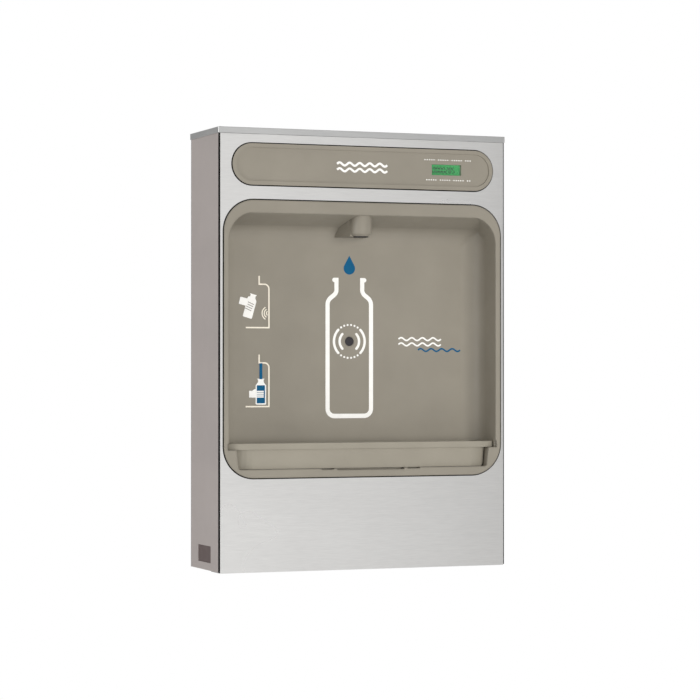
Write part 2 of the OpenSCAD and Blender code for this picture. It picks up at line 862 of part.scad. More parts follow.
// Curved skirt below the lip, with ends that follow the sump's leaning sides
module apron() {
    x = apron_half - tray_corner * sin(tray_turn);
    low_x = sump_low_half - apron_gap;
    difference() {
        box(-apron_half, apron_half, apron_y0, apron_y1, apron_z0, tray_z0);
        front_curves(apron_half, apron_y0, apron_z0, tray_z0);
        box(-x, x, apron_y0 + apron_t, apron_y1 + cut, apron_z0 - cut, tray_z0 + cut);
        for (side = [-1, 1]) mirror([side < 0 ? 1 : 0, 0, 0]) {
            rod_z(apron_z0 - cut, tray_z0 + cut, x, apron_y0 + tray_corner, tray_corner - apron_t);
            front_slab(apron_y0 - cut, apron_y1 + cut) polygon([
                [low_x - apron_chamfer - cut, apron_z0 - cut],
                [low_x, apron_z0 + apron_chamfer],
                [apron_half, tray_z0],
                [half_w, tray_z0],
                [half_w, apron_z0 - cut]
            ]);
        }
    }
}

// Drain: flanged fitting in the sump, its nut, and the elbow with its pipe to the wall
module drain_fitting() {
    z1 = sump_z + drain_flange_t + touch;
    z0 = sump_z - wall * 2 - drain_stem;
    color("silver") difference() {
        union() {
            rod_z(sump_z + touch, z1, 0, drain_y, drain_flange_r);
            rod_z(z0, z1, 0, drain_y, drain_r);
        }
        rod_z(z0 - cut, sump_z - drain_flange_t, 0, drain_y, drain_bore);
        for (i = [0 : 5]) translate([0, drain_y, 0]) rotate(i * 60)
            rod_z(sump_z - drain_flange_t - cut, z1 + cut, drain_bore - strainer_r * 2, 0, strainer_r);
        rod_z(sump_z - drain_flange_t - cut, z1 + cut, 0, drain_y, strainer_r);
    }
}
module drain_nut() {
    z1 = sump_z - wall * 2 - touch;
    color("dimgray") difference() {
        hex_z(z1 - drain_nut_h, z1, 0, drain_y, drain_nut_r);
        rod_z(z1 - drain_nut_h - cut, z1 + cut, 0, drain_y, drain_r + touch);
    }
}
module drain_pipe() {
    top = sump_z - wall * 2 - drain_stem - touch;
    z = bottom_z + drain_rise;
    r = drain_r - drain_wall;
    color("silver") difference() {
        union() {
            rod_z(z, top, 0, drain_y, drain_r);
            rod_z(z, top - slip_nut_h / 2 - fit, 0, drain_y, elbow_r);
            rod_y(drain_y, -drain_end, 0, z, drain_r);
            rod_y(drain_y, -drain_end - drain_pin, 0, z, elbow_r);
            translate([0, drain_y, z]) sphere(elbow_r);
        }
        rod_z(z, top + cut, 0, drain_y, r);
        rod_y(drain_y, -drain_end + cut, 0, z, r);
        translate([0, drain_y, z]) sphere(r);
    }
}
module slip_nut() {
    z = sump_z - wall * 2 - drain_stem;
    half = slip_nut_h / 2;
    color("dimgray") difference() {
        rod_z(z - half, z + half, 0, drain_y, slip_nut_r);
        rod_z(z - half - cut, z + half + cut, 0, drain_y, drain_r + touch);
    }
}

// Header: a round-ended moulding with a dished face and a window
module header_bezel() {
    color("tan") difference() {
        union() {
            front_slab(front_y - header_proud, header_floor_y1)
                stadium(header_half - gap, header_z, header_r - gap);
            header_lap_slab(lap_y0, lap_y1);
            board_boss_places() rod_y(header_floor_y1 - touch, board_y0 - touch, 0, 0, board_boss_r);
        }
        front_slab(front_y - header_proud - cut, dish_y)
            stadium(header_half - gap - header_rim, header_z, header_r - gap - header_rim);
        box(window_x - window_w / 2, window_x + window_w / 2, front_y - cut, header_floor_y1 + cut,
            header_z - window_h / 2, header_z + window_h / 2);
        header_stud_places() rod_y(-cut, stud_len, 0, 0, stud_r + stud_fit);
        board_boss_places() rod_y(lap_y1, board_y0 + cut, 0, 0, board_screw_r + touch);
    }
}
module header_lap_slab(y0, y1) {
    half = header_half + header_lap_end;
    front_slab(y0, y1) round_rect(
        -half, half, header_z - header_r - header_lap, header_z + header_r + header_lap, header_lap);
}
module board_boss_places() {
    for (x = [board_x0 + board_screw_in, board_x1 - board_screw_in], z = [-1, 1])
        translate([x, 0, header_z + z * (board_drop - board_screw_in)]) children();
}
module header_gasket() {
    color("black") difference() {
        union() {
            header_lap_slab(gasket_y0 + touch, lap_y0 - touch);
            front_slab(front_y - seal_proud, lap_y0 - touch)
                stadium(header_half - seal_gap, header_z, header_r - seal_gap);
        }
        front_slab(front_y - seal_proud - cut, lap_y0 + cut)
            stadium(header_half - gap + touch, header_z, header_r - gap + touch);
        header_stud_places() rod_y(-cut, stud_len, 0, 0, stud_r + stud_fit);
    }
}

// Display behind the window, and the board that carries it
module display_lens() {
    color([0.8, 0.95, 0.85, 0.4])
        box(window_x - window_w / 2 + touch, window_x + window_w / 2 - touch, dish_y + lens_set,
            dish_y + lens_set + lens_t,
            header_z - window_h / 2 + touch, header_z + window_h / 2 - touch);
}
module lcd_slab(margin, y0, y1) {
    box(window_x - window_w / 2 - lcd_margin_x - margin, window_x + window_w / 2 + lcd_margin_x + margin,
        y0, y1,
        header_z - window_h / 2 - lcd_margin_z - margin, header_z + window_h / 2 + lcd_margin_z + margin);
}
module lcd_glass() {
    color("green") lcd_slab(0, header_floor_y1 + touch, header_floor_y1 + lcd_glass_t);
}
module lcd_frame() {
    color("white") lcd_slab(touch * 2, header_floor_y1 + lcd_glass_t + touch, board_y0 - touch);
}
module control_board() {
    color("darkgreen") difference() {
        box(board_x0, board_x1, board_y0, board_y1, header_z - board_drop, header_z + board_drop);
        board_boss_places() rod_y(board_y0 - cut, board_y1 + cut, 0, 0, board_screw_r + touch);
    }
}
module board_screws() {
    color("silver") board_boss_places() {
        rod_y(lap_y1 + cut, board_y1 + touch, 0, 0, board_screw_r);
        rod_y(board_y1 + touch, board_y1 + touch + board_screw_head_h, 0, 0, board_screw_head);
    }
}
// Where each cable meets the board: in from its left end, and up from the header's middle
sensor_plug_in = 13;
sensor_plug_up = 4;
coil_plug_in = 33;
coil_plug_up = -9;
power_plug_in = 53;
power_plug_up = 14;
sensor_plug = [board_x0 + sensor_plug_in, sensor_plug_up];
coil_plug = [board_x0 + coil_plug_in, coil_plug_up];
power_plug = [board_x0 + power_plug_in, power_plug_up];
module board_connectors() {
    color("white") for (p = [sensor_plug, coil_plug, power_plug])
        box(p[0] - plug_w / 2, p[0] + plug_w / 2, board_y1 + touch, connector_y,
            header_z + p[1] - plug_h / 2, header_z + p[1] + plug_h / 2);
}
relay_in = 42;
relay_x = board_x1 - relay_in;
relay_w = 20;
relay_d = 14;
chip_in = 58;
chip_x = board_x1 - chip_in;
chip_w = 12;
chip_t = 2;
capacitor_in = 24;
capacitor_x = board_x1 - capacitor_in;
capacitor_r = 4;
capacitor_h = 12;
capacitor_pitch = 10;
module board_parts() {
    color("black") {
        box(relay_x - relay_w / 2, relay_x + relay_w / 2, board_y1 + touch, board_y1 + relay_d,
            header_z - board_drop / 2, header_z + chip_t);
        box(chip_x - chip_w / 2, chip_x + chip_w / 2, board_y1 + touch, board_y1 + chip_t,
            header_z - chip_w / 2, header_z + chip_w / 2);
        for (i = [0, 1])
            rod_y(board_y1 + touch, board_y1 + capacitor_h, capacitor_x + i * capacitor_pitch,
                header_z - board_drop / 2, capacitor_r);
    }
}
// Push switch on the board, pressed from above once the cover is off
module switch_body() {
    z1 = header_z + switch_rise + switch_h;
    y = board_y1 + switch_w / 2 + touch;
    color("dimgray") difference() {
        box(switch_x - switch_w / 2, switch_x + switch_w / 2, board_y1 + touch, board_y1 + switch_w,
            header_z + switch_rise, z1);
        rod_z(z1 - button_stem - cut * 2, z1 + cut, switch_x, y, button_r + fit / 2);
    }
}
module program_button() {
    z1 = header_z + switch_rise + switch_h;
    y = board_y1 + switch_w / 2 + touch;
    color("red") rod_z(z1 - button_stem, z1 + button_out, switch_x, y, button_r);
}

// Nozzle: moulded cover on the ceiling, with the brass body inside
module nozzle_plan(g) {
    translate([0, nozzle_y]) circle(nose_r - g);
    nozzle_flanks(g);
}
// The flat sides of the cover behind the nozzle's axis, drawn in by g
module nozzle_flanks(g) {
    near_x = (nose_r - g) / cos(nozzle_flare) - flank_set;
    far_x = near_x + (recess_y - nozzle_y) * tan(nozzle_flare);
    polygon([[-near_x, nozzle_y], [near_x, nozzle_y], [far_x, recess_y], [-far_x, recess_y]]);
}
module nozzle_cover() {
    color("tan") difference() {
        union() {
            plan_slab(nozzle_z0 + nose_bevel_h, room_top) nozzle_plan(0);
            plan_slab(nozzle_z0, nozzle_z0 + nose_bevel_h) nozzle_flanks(0);
            cone_z(nozzle_z0, nozzle_z0 + nose_bevel_h, 0, nozzle_y, nose_r - nose_bevel_w, nose_r);
        }
        difference() {
            box(-half_w, half_w, front_y - cut, recess_y + cut, nozzle_z0 - cut, room_top + cut);
            side_slab(-half_w - cut, half_w + cut)
                ceiling_outline(-touch * 2, front_y - cut * 2, nozzle_z0 - cut * 2);
        }
        plan_slab(nozzle_z0 + cover_wall, room_top + cut) nozzle_plan(cover_wall);
        rod_z(nozzle_z0 - cut, nozzle_z0 + cover_wall + cut, 0, nozzle_y, nozzle_body_r + touch * 2);
    }
}
module nozzle_body() {
    z1 = nozzle_pipe_z + nozzle_body_top;
    color("goldenrod") difference() {
        union() {
            rod_z(nozzle_z0 + touch, z1, 0, nozzle_y, nozzle_body_r);
            rod_y(nozzle_y, boss_y + nozzle_nut_h + cut, 0, nozzle_pipe_z, nozzle_pipe_r);
        }
        rod_z(nozzle_z0 - cut, nozzle_z0 + aerator_h + touch, 0, nozzle_y, aerator_r + touch);
        rod_z(nozzle_z0, nozzle_pipe_z, 0, nozzle_y, nozzle_bore);
        rod_y(nozzle_y, boss_y + nozzle_nut_h + cut * 2, 0, nozzle_pipe_z, nozzle_bore);
    }
}
module nozzle_aerator() {
    color("dimgray") difference() {
        union() {
            rod_z(nozzle_z0 - aerator_out, nozzle_z0 + aerator_h, 0, nozzle_y, aerator_r);
            rod_z(nozzle_z0 - aerator_out, nozzle_z0 - touch, 0, nozzle_y, aerator_flange_r);
        }
        for (i = [0 : 5]) translate([0, nozzle_y, 0]) rotate(i * 60)
            rod_z(nozzle_z0 - aerator_out - cut, nozzle_z0 + aerator_h + cut,
                aerator_r / 2, 0, aerator_r / 6);
    }
}
module nozzle_nut() {
    color("goldenrod") difference() {
        hex_y(boss_y + touch, boss_y + nozzle_nut_h, 0, nozzle_pipe_z, nozzle_nut_r);
        rod_y(boss_y - cut, boss_y + nozzle_nut_h + cut, 0, nozzle_pipe_z, nozzle_pipe_r + touch);
    }
}
module nozzle_connector() {
    color("white") difference() {
        rod_y(connector_y0, connector_y0 + connector_h, 0, nozzle_pipe_z, connector_r);
        rod_y(connector_y0 + connector_h / 2, connector_y0 + connector_h + cut, 0,
            nozzle_pipe_z, tube_r + touch);
    }
}
// Tube from the valve up to the nozzle
module nozzle_tube() {
    color("white") pipe([
        [valve_x - valve_port_x - touch, line_y, valve_flow_z],
        [tube_x, line_y, valve_flow_z],
        [tube_x, line_y, nozzle_pipe_z],
        [0, line_y, nozzle_pipe_z],
        [0, connector_y0 + connector_h / 2 + touch, nozzle_pipe_z]
    ], tube_r, tube_bend);
}

// Sensor: barrel behind the wall, its dark window, and the cap nut that holds it
module sensor_barrel() {
    color("dimgray") {
        rod_y(recess_y + wall + touch, sensor_y1, 0, sensor_z, sensor_body_r);
        rod_y(recess_y + sensor_set + sensor_window_t + touch, recess_y + wall + touch * 2,
            0, sensor_z, sensor_r);
    }
}
module sensor_window() {
    color([0.15, 0.1, 0.12])
        rod_y(recess_y + sensor_set, recess_y + sensor_set + sensor_window_t, 0, sensor_z, sensor_r);
}
module sensor_nut() {
    y0 = recess_y + wall + sensor_nut_gap;
    color("black") difference() {
        hex_y(y0, sensor_nut_y1, 0, sensor_z, sensor_nut_r);
        rod_y(y0 - cut, recess_y + wall + sensor_boss_h + touch, 0, sensor_z, sensor_boss_r + touch);
        rod_y(y0, sensor_y1 + touch, 0, sensor_z, sensor_body_r + touch);
        rod_y(y0, sensor_nut_y1 + cut, 0, sensor_z, cable_r + touch);
    }
}
module sensor_cable() {
    color("black") pipe([
        [0, sensor_y1 + touch, sensor_z],
        [0, cable_lane_y, sensor_z],
        [sensor_plug[0], cable_lane_y, sensor_z],
        [sensor_plug[0], cable_lane_y, header_z + sensor_plug[1]],
        [sensor_plug[0], connector_y + touch, header_z + sensor_plug[1]]
    ], cable_r, cable_bend);
}

// Solenoid valve on the water line
valve_z0 = bottom_z + valve_rise;
valve_z1 = valve_z0 + valve_h;
valve_flow_z = valve_z0 + valve_h / 2;
valve_port_x = valve_half + port_len - port_deep;
seat_z = valve_z1 - plunger_foot;
plunger_z1 = seat_z + fit + plunger_h;
pole_z = plunger_z1 + stem_h + plunger_travel + fit;
coil_z0 = valve_z1 + coil_lift;
coil_z1 = coil_z0 + coil_h;
armature_z1 = coil_z1 + coil_nut_h + cut;
module valve_body() {
    feed_x = chamber_r - feed_r - touch;
    color("goldenrod") difference() {
        union() {
            box(valve_x - valve_half, valve_x + valve_half, line_y - valve_hy,
                line_y + valve_hy, valve_z0, valve_z1);
            rod_x(valve_x - valve_half - port_len, valve_x + valve_half + port_len,
                line_y, valve_flow_z, port_r);
        }
        for (side = [-1, 1]) {
            inner = valve_x + side * (side > 0 ? feed_x : 0);
            port = valve_x + side * (valve_half + port_len + cut);
            seat = valve_x + side * valve_port_x;
            rod_x(min(inner, port), max(inner, port), line_y, valve_flow_z - water_bore, water_bore / 2);
            rod_x(min(seat, port), max(seat, port), line_y, valve_flow_z, tube_r + touch);
        }
        rod_z(valve_flow_z - water_bore, seat_z + cut, valve_x, line_y, seat_r);
        rod_z(valve_flow_z - water_bore, seat_z + cut, valve_x + feed_x, line_y, feed_r);
        rod_z(seat_z, valve_z1 + cut, valve_x, line_y, chamber_r);
    }
}
module armature_tube() {
    color("silver") difference() {
        union() {
            rod_z(valve_z1 - armature_foot, valve_z1, valve_x, line_y, chamber_r - touch);
            rod_z(valve_z1 - armature_foot, armature_z1, valve_x, line_y, armature_r);
        }
        rod_z(valve_z1 - armature_foot - cut, pole_z, valve_x, line_y, armature_bore);
    }
}
module valve_plunger() {
    color("gray") {
        rod_z(seat_z + fit, plunger_z1, valve_x, line_y, plunger_r);
        rod_z(plunger_z1 - touch, plunger_z1 + stem_h, valve_x, line_y, stem_r);
    }
}
spring_sides = 6;
spring_rings = 8;
spring_z0 = plunger_z1 + spring_wire / 2 + touch;
spring_rise = (pole_z - plunger_z1 - spring_wire - touch * 2) / spring_turns;
spring_count = spring_turns * spring_rings;
function spring_axis(i) = [
    spring_r * cos(i * 360 / spring_rings),
    spring_r * sin(i * 360 / spring_rings),
    spring_z0 + spring_rise * i / spring_rings
];
function spring_ring(i) = [
    for (k = [0 : spring_sides - 1]) spring_axis(i) + spring_wire / 2 * (
        cos(k * 360 / spring_sides) * [cos(i * 360 / spring_rings), sin(i * 360 / spring_rings), 0]
        + sin(k * 360 / spring_sides) * [0, 0, 1])
];
echo("least gap between the spring's coils", spring_rise - spring_wire);
module plunger_spring() {
    last = spring_count * spring_sides;
    points = [for (i = [0 : spring_count]) each spring_ring(i)];
    sides = [
        for (i = [0 : spring_count - 1], k = [0 : spring_sides - 1])
            let (a = i * spring_sides + k, b = i * spring_sides + (k + 1) % spring_sides)
            each [[a, a + spring_sides, b], [b, a + spring_sides, b + spring_sides]]
    ];
    ends = [
        for (k = [1 : spring_sides - 2]) each [[0, k, k + 1], [last, last + k + 1, last + k]]
    ];
    color("silver") translate([valve_x, line_y, 0]) polyhedron(points, concat(sides, ends));
}
module valve_coil() {
    color("black") difference() {
        box(valve_x - coil_half, valve_x + coil_half, line_y - coil_half,
            line_y + coil_half, coil_z0, coil_z1);
        rod_z(coil_z0 - cut, coil_z1 + cut, valve_x, line_y, armature_r + touch);
    }
}
module coil_nut() {
    color("silver") difference() {
        hex_z(coil_z1 + touch, coil_z1 + coil_nut_h, valve_x, line_y, coil_nut_r);
        rod_z(coil_z1 - cut, coil_z1 + coil_nut_h + cut, valve_x, line_y, armature_r + touch);
    }
}
module valve_bracket() {
    z1 = valve_z0 - touch;
    color("silver") {
        box(valve_x - bracket_half, valve_x + bracket_half, line_y - valve_hy, shell_y1, z1 - bracket_t, z1);
        box(valve_x - bracket_half, valve_x + bracket_half, shell_y1 - bracket_t,
            shell_y1, z1 - bracket_drop, z1);
    }
}
module coil_cable() {
    z = (coil_z0 + coil_z1) / 2;
    color("black") pipe([
        [valve_x + coil_half + touch, line_y, z],
        [coil_cable_x, line_y, z],
        [coil_cable_x, line_y, header_z + coil_plug[1]],
        [coil_plug[0], line_y, header_z + coil_plug[1]],
        [coil_plug[0], connector_y + touch, header_z + coil_plug[1]]
    ], cable_r, cable_bend);
}

// Stop valve, regulator and their tubes
stop_z = bottom_z + stop_rise;
stop_top = stop_z + stop_outlet_h;
regulator_z0 = bottom_z + regulator_rise;
regulator_z1 = regulator_z0 + regulator_h;
adjuster_z = (regulator_z0 + regulator_z1) / 2;
adjuster_y0 = line_y - regulator_r - regulator_boss;
module stop_valve_body() {
    color("goldenrod") difference() {
        union() {
            rod_y(stop_y0, stop_y1, stop_x, stop_z, stop_body_r);
            rod_z(stop_z, stop_top, stop_x, line_y, stop_outlet_r);
        }
        rod_y(stop_y1 - inlet_deep, stop_y1 + cut, stop_x, stop_z, inlet_r);
        rod_y(line_y, stop_y1, stop_x, stop_z, water_bore);
        rod_z(stop_z, stop_top, stop_x, line_y, water_bore);
        rod_z(stop_top - port_deep, stop_top + cut, stop_x, line_y, tube_r + touch);
        rod_y(stop_y0 - cut, stop_y0 + lever_stem + fit, stop_x, stop_z, lever_stem_r + touch);
    }
}
module inlet_nut() {
    color("goldenrod") difference() {
        hex_y(stop_y1 + touch, inlet_nut_y, stop_x, stop_z, inlet_nut_r);
        rod_y(stop_y1 - cut, inlet_nut_y + cut, stop_x, stop_z, inlet_r);
    }
}
module stop_valve_lever() {
    y1 = stop_y0 - fit;
    color("darkblue") {
        rod_y(y1 - cut, stop_y0 + lever_stem, stop_x, stop_z, lever_stem_r);
        rod_y(y1 - lever_hub_h, y1, stop_x, stop_z, lever_hub_r);
        box(stop_x - lever_w / 2, stop_x + lever_w / 2, y1 - lever_hub_h, y1 - lever_hub_h + lever_t,
            stop_z, stop_z + lever_len - lever_w / 2);
        rod_y(y1 - lever_hub_h, y1 - lever_hub_h + lever_t, stop_x,
            stop_z + lever_len - lever_w / 2, lever_w / 2);
    }
}
module supply_tube() {
    color("white") rod_z(stop_top - port_deep + touch, regulator_z0 + port_deep - touch,
        stop_x, line_y, tube_r);
}
module regulator_tube() {
    color("white") pipe([
        [stop_x, line_y, regulator_z1 - port_deep + touch],
        [stop_x, line_y, valve_flow_z],
        [valve_x + valve_port_x + touch, line_y, valve_flow_z]
    ], tube_r, tube_bend);
}
module regulator_body() {
    color("white") difference() {
        union() {
            rod_z(regulator_z0, regulator_z1, stop_x, line_y, regulator_r);
            rod_y(adjuster_y0, line_y, stop_x, adjuster_z, regulator_boss_r);
        }
        rod_z(regulator_z0 - cut, regulator_z0 + port_deep, stop_x, line_y, tube_r + touch);
        rod_z(regulator_z1 - port_deep, regulator_z1 + cut, stop_x, line_y, tube_r + touch);
        rod_z(regulator_z0, regulator_z1, stop_x, line_y, water_bore);
        rod_y(adjuster_y0 - cut, adjuster_y0 + adjuster_len, stop_x, adjuster_z, adjuster_r + touch);
    }
}
module regulator_screw() {
    y0 = adjuster_y0 - cut;
    color("dimgray") difference() {
        rod_y(y0, adjuster_y0 + adjuster_len - fit, stop_x, adjuster_z, adjuster_r);
        box(stop_x - adjuster_slot / 2, stop_x + adjuster_slot / 2, y0 - cut, y0 + adjuster_slot,
            adjuster_z - adjuster_r - cut, adjuster_z + adjuster_r + cut);
    }
}
module regulator_clip() {
    z0 = regulator_z1 - clip_w - touch;
    color("black") difference() {
        union() {
            rod_z(z0, z0 + clip_w, stop_x, line_y, regulator_r + clip_t);
            box(stop_x - regulator_boss_r, stop_x + regulator_boss_r, line_y, shell_y1, z0, z0 + clip_w);
        }
        rod_z(z0 - cut, z0 + clip_w + cut, stop_x, line_y, regulator_r + touch);
        box(stop_x - clip_w / 2, stop_x + clip_w / 2, line_y - regulator_r - clip_t - cut,
            line_y, z0 - cut, z0 + clip_w + cut);
    }
}

// Power supply, its cable and the clips
power_z0 = bottom_z + power_rise;
power_z1 = power_z0 + power_h;
power_y0 = shell_y1 - power_d;
power_mid = (power_x0 + power_x1) / 2;
module power_case() {
    color("silver") difference() {
        box(power_x0, power_x1, power_y0, shell_y1, power_z0, power_z1);
        box(power_x0 + power_wall, power_x1 - power_wall, power_y0 - cut, shell_y1 - power_wall,
            power_z0 + power_wall, power_z1 - power_wall);
        rod_x(power_x1 - power_wall - cut, power_x1 + cut, power_cable_y,
            bottom_z + knockout_rise, knockout_r);
        rod_z(power_z1 - power_wall - cut, power_z1 + cut, power_mid, power_cable_y, cable_r + touch);
    }
}
module power_lid() {
    color("silver") box(power_x0, power_x1, power_y0 - touch - power_lid_t,
        power_y0 - touch, power_z0, power_z1);
}
module power_transformer() {
    y1 = shell_y1 - power_wall - touch;
    z = (power_z0 + power_z1) / 2;
    color("orange") {
        box(power_mid - core_w / 2, power_mid + core_w / 2, y1 - core_d, y1, z - core_h / 2, z + core_h / 2);
        for (y = [y1 - core_d, y1 - power_wall])
            box(power_mid - core_h / 2, power_mid + core_h / 2, y - power_wall, y + power_wall,
                z - core_h / 2 + power_wall, z + core_h / 2 - power_wall);
    }
}
module power_cable() {
    color("black") pipe([
        [power_mid, power_cable_y, power_z1 - power_wall],
        [power_mid, power_cable_y, header_z + power_plug[1]],
        [power_plug[0], power_cable_y, header_z + power_plug[1]],
        [power_plug[0], connector_y + touch, header_z + power_plug[1]]
    ], cable_r, cable_bend);
}
// Clips on the back plate, for the power cable and the sensor's cable
module cable_clips() {
    color("white") {
        for (share = clip_shares)
            cable_clip(power_mid, power_cable_y, power_z1 + share * (header_z + power_plug[1] - power_z1));
        cable_clip(sensor_plug[0], cable_lane_y, (sensor_z + header_z) / 2);
    }
}
module cable_clip(x, y, z) {
    half = cable_r + clip_pad;
    difference() {
        box(x - half, x + half, y - half, shell_y1, z, z + clip_len);
        rod_z(z - cut, z + clip_len + cut, x, y, cable_r + touch);
    }
}

// Print on the back wall: an open bottle, a drop above it and arcs beside the sensor
bottle_z0 = tray_z1 + bottle_rise;
bottle_z1 = bottle_z0 + bottle_h;
module bottle_shape(g) {
    half = bottle_w / 2 - bottle_line / 2 + g;
    z0 = bottle_z0 + bottle_line / 2 - g;
    r = base_r + g;
    neck_z = bottle_z1 - neck_h;
    out = [sin(shoulder_turn), cos(shoulder_turn)];
    run = (half - g - neck_half - (shoulder_r + neck_r) * (1 - out[0])) / out[1];
    shoulder_z = neck_z - (shoulder_r + neck_r) * out[1] - run * out[0];
    shoulder = [half - g - shoulder_r, shoulder_z];
    neck = [neck_half + neck_r, neck_z];
    rect(-half + r, half - r, z0, z0 + r);
    rect(-half, half, z0 + r, shoulder_z);
    for (side = [-1, 1]) mirror([side < 0 ? 1 : 0, 0]) {
        translate([half - r, z0 + r]) circle(r);
        translate(shoulder) circle(shoulder_r + g);
        difference() {
            polygon([
                [0, shoulder_z],
                shoulder,
                shoulder + (shoulder_r + g) * out,
                neck - (neck_r - g) * out,
                neck,
                [0, neck_z]
            ]);
            translate(neck) circle(neck_r - g);
        }
    }
    rect(-neck_half - g, neck_half + g, neck_z, bottle_z1);
}
module bottle_lip() {
    r = bottle_line / 2;
    for (side = [-1, 1]) mirror([side < 0 ? 1 : 0, 0]) {
        rect(neck_half, lip_reach - r, bottle_z1 - bottle_line, bottle_z1);
        translate([lip_reach - r, bottle_z1 - r]) circle(r);
    }
}
module drop_shape() {
    z = bottle_z1 + drop_rise + drop_r;
    lean = asin(drop_r / (drop_h - drop_r));
    translate([0, z]) circle(drop_r);
    polygon([
        [-drop_r * cos(lean), z + drop_r * sin(lean)],
        [drop_r * cos(lean), z + drop_r * sin(lean)],
        [0, z + drop_h - drop_r]
    ]);
}
module sensor_arc(r) {
    difference() {
        circle(r + arc_line / 2);
        circle(r - arc_line / 2);
        polygon([
            [0, 0],
            r * 2 * [cos(arc_half_angle), sin(arc_half_angle)],
            r * 2 * [0, 1],
            r * 2 * [-1, 1],
            r * 2 * [-1, -1],
            r * 2 * [0, -1],
            r * 2 * [cos(arc_half_angle), -sin(arc_half_angle)]
        ]);
    }
    for (side = [-1, 1])
        translate(r * [cos(arc_half_angle), side * sin(arc_half_angle)]) circle(arc_line / 2);
}
module wall_print() {
    color("white") front_slab(recess_y - touch - ink, recess_y - touch) {
        difference() {
            union() {
                bottle_shape(bottle_line / 2);
                bottle_lip();
            }
            bottle_shape(-bottle_line / 2);
            rect(-neck_half + bottle_line / 2, neck_half - bottle_line / 2,
                bottle_z1 - bottle_line, bottle_z1 + cut);
        }
        drop_shape();
        translate([0, sensor_z]) for (side = [-1, 1], r = arc_r) mirror([side < 0 ? 1 : 0, 0]) sensor_arc(r);
    }
}

back_plate();
cabinet_shell();
top_cover();
front_panel();
edge_strips();
side_blank();
alcove_shell();
alcove_gasket();
alcove_nuts();
bottle_tray();
header_bezel();
header_gasket();
header_nuts();
display_lens();
lcd_glass();
lcd_frame();
control_board();
board_connectors();
board_parts();
board_screws();
switch_body();
program_button();
nozzle_cover();
nozzle_body();
nozzle_aerator();
nozzle_nut();
nozzle_connector();
nozzle_tube();
sensor_barrel();
sensor_window();
sensor_nut();
sensor_cable();
valve_body();
armature_tube();
valve_plunger();
plunger_spring();
valve_coil();
coil_nut();
valve_bracket();
coil_cable();
supply_tube();
regulator_tube();
regulator_body();
regulator_screw();
regulator_clip();
stop_valve_body();
inlet_nut();
stop_valve_lever();
drain_fitting();
drain_nut();
drain_pipe();
slip_nut();
power_case();
power_lid();
power_transformer();
power_cable();
cable_clips();
cover_screws();
panel_screws();
wall_print();
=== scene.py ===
"""Looks, guide prints, camera and light for the bottle filling station."""
import json
import math

import bmesh
import bpy
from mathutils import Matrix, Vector


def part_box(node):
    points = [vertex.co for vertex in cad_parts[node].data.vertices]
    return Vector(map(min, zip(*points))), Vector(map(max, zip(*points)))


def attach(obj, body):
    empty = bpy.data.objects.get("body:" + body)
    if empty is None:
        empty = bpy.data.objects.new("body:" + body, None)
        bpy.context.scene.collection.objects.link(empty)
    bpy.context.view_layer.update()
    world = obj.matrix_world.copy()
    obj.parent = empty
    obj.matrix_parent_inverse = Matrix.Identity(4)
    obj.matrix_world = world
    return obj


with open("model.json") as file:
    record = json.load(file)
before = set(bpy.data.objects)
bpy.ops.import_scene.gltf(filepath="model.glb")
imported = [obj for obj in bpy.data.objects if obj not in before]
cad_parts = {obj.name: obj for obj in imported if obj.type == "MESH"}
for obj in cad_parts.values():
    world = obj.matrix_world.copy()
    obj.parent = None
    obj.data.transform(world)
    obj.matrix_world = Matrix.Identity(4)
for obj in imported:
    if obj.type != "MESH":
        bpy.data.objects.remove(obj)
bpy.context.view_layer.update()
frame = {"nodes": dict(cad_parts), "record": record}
scene = bpy.context.scene

MM = 0.001
CABINET = "cabinet"


# Colours, written as they look on a screen from 0 to 255
def paint(red, green, blue):
    values = []
    for level in (red, green, blue):
        share = level / 255
        low = share <= 0.04045
        values.append(share / 12.92 if low else ((share + 0.055) / 1.055) ** 2.4)
    return (*values, 1.0)


STEEL = paint(228, 227, 225)
STEEL_DARK = paint(196, 194, 190)
COVER_STEEL = paint(203, 203, 202)
SIDE_GREY = paint(172, 163, 159)
TAUPE = paint(140, 134, 122)
# The tray's taupe: the moulding's taupe painted lighter, as painted light for the stronger light falling on
# the tray's front.
TAUPE_TRAY_LIT = paint(148, 142, 129)
TAUPE_DEEP = paint(112, 107, 96)
INK_WHITE = paint(245, 243, 238)
INK_CREAM = paint(243, 234, 217)
INK_BLUE = paint(14, 86, 124)
LCD_GREEN = paint(40, 142, 72)
LCD_DIGIT = paint(2, 22, 8)


# Node trees
NOISE_SPAN = (0.3, 0.7)          # most of a noise texture's values lie in it
WIDE_SPAN = (0.15, 0.85)         # wider, so that little of the metal's grain is cut off


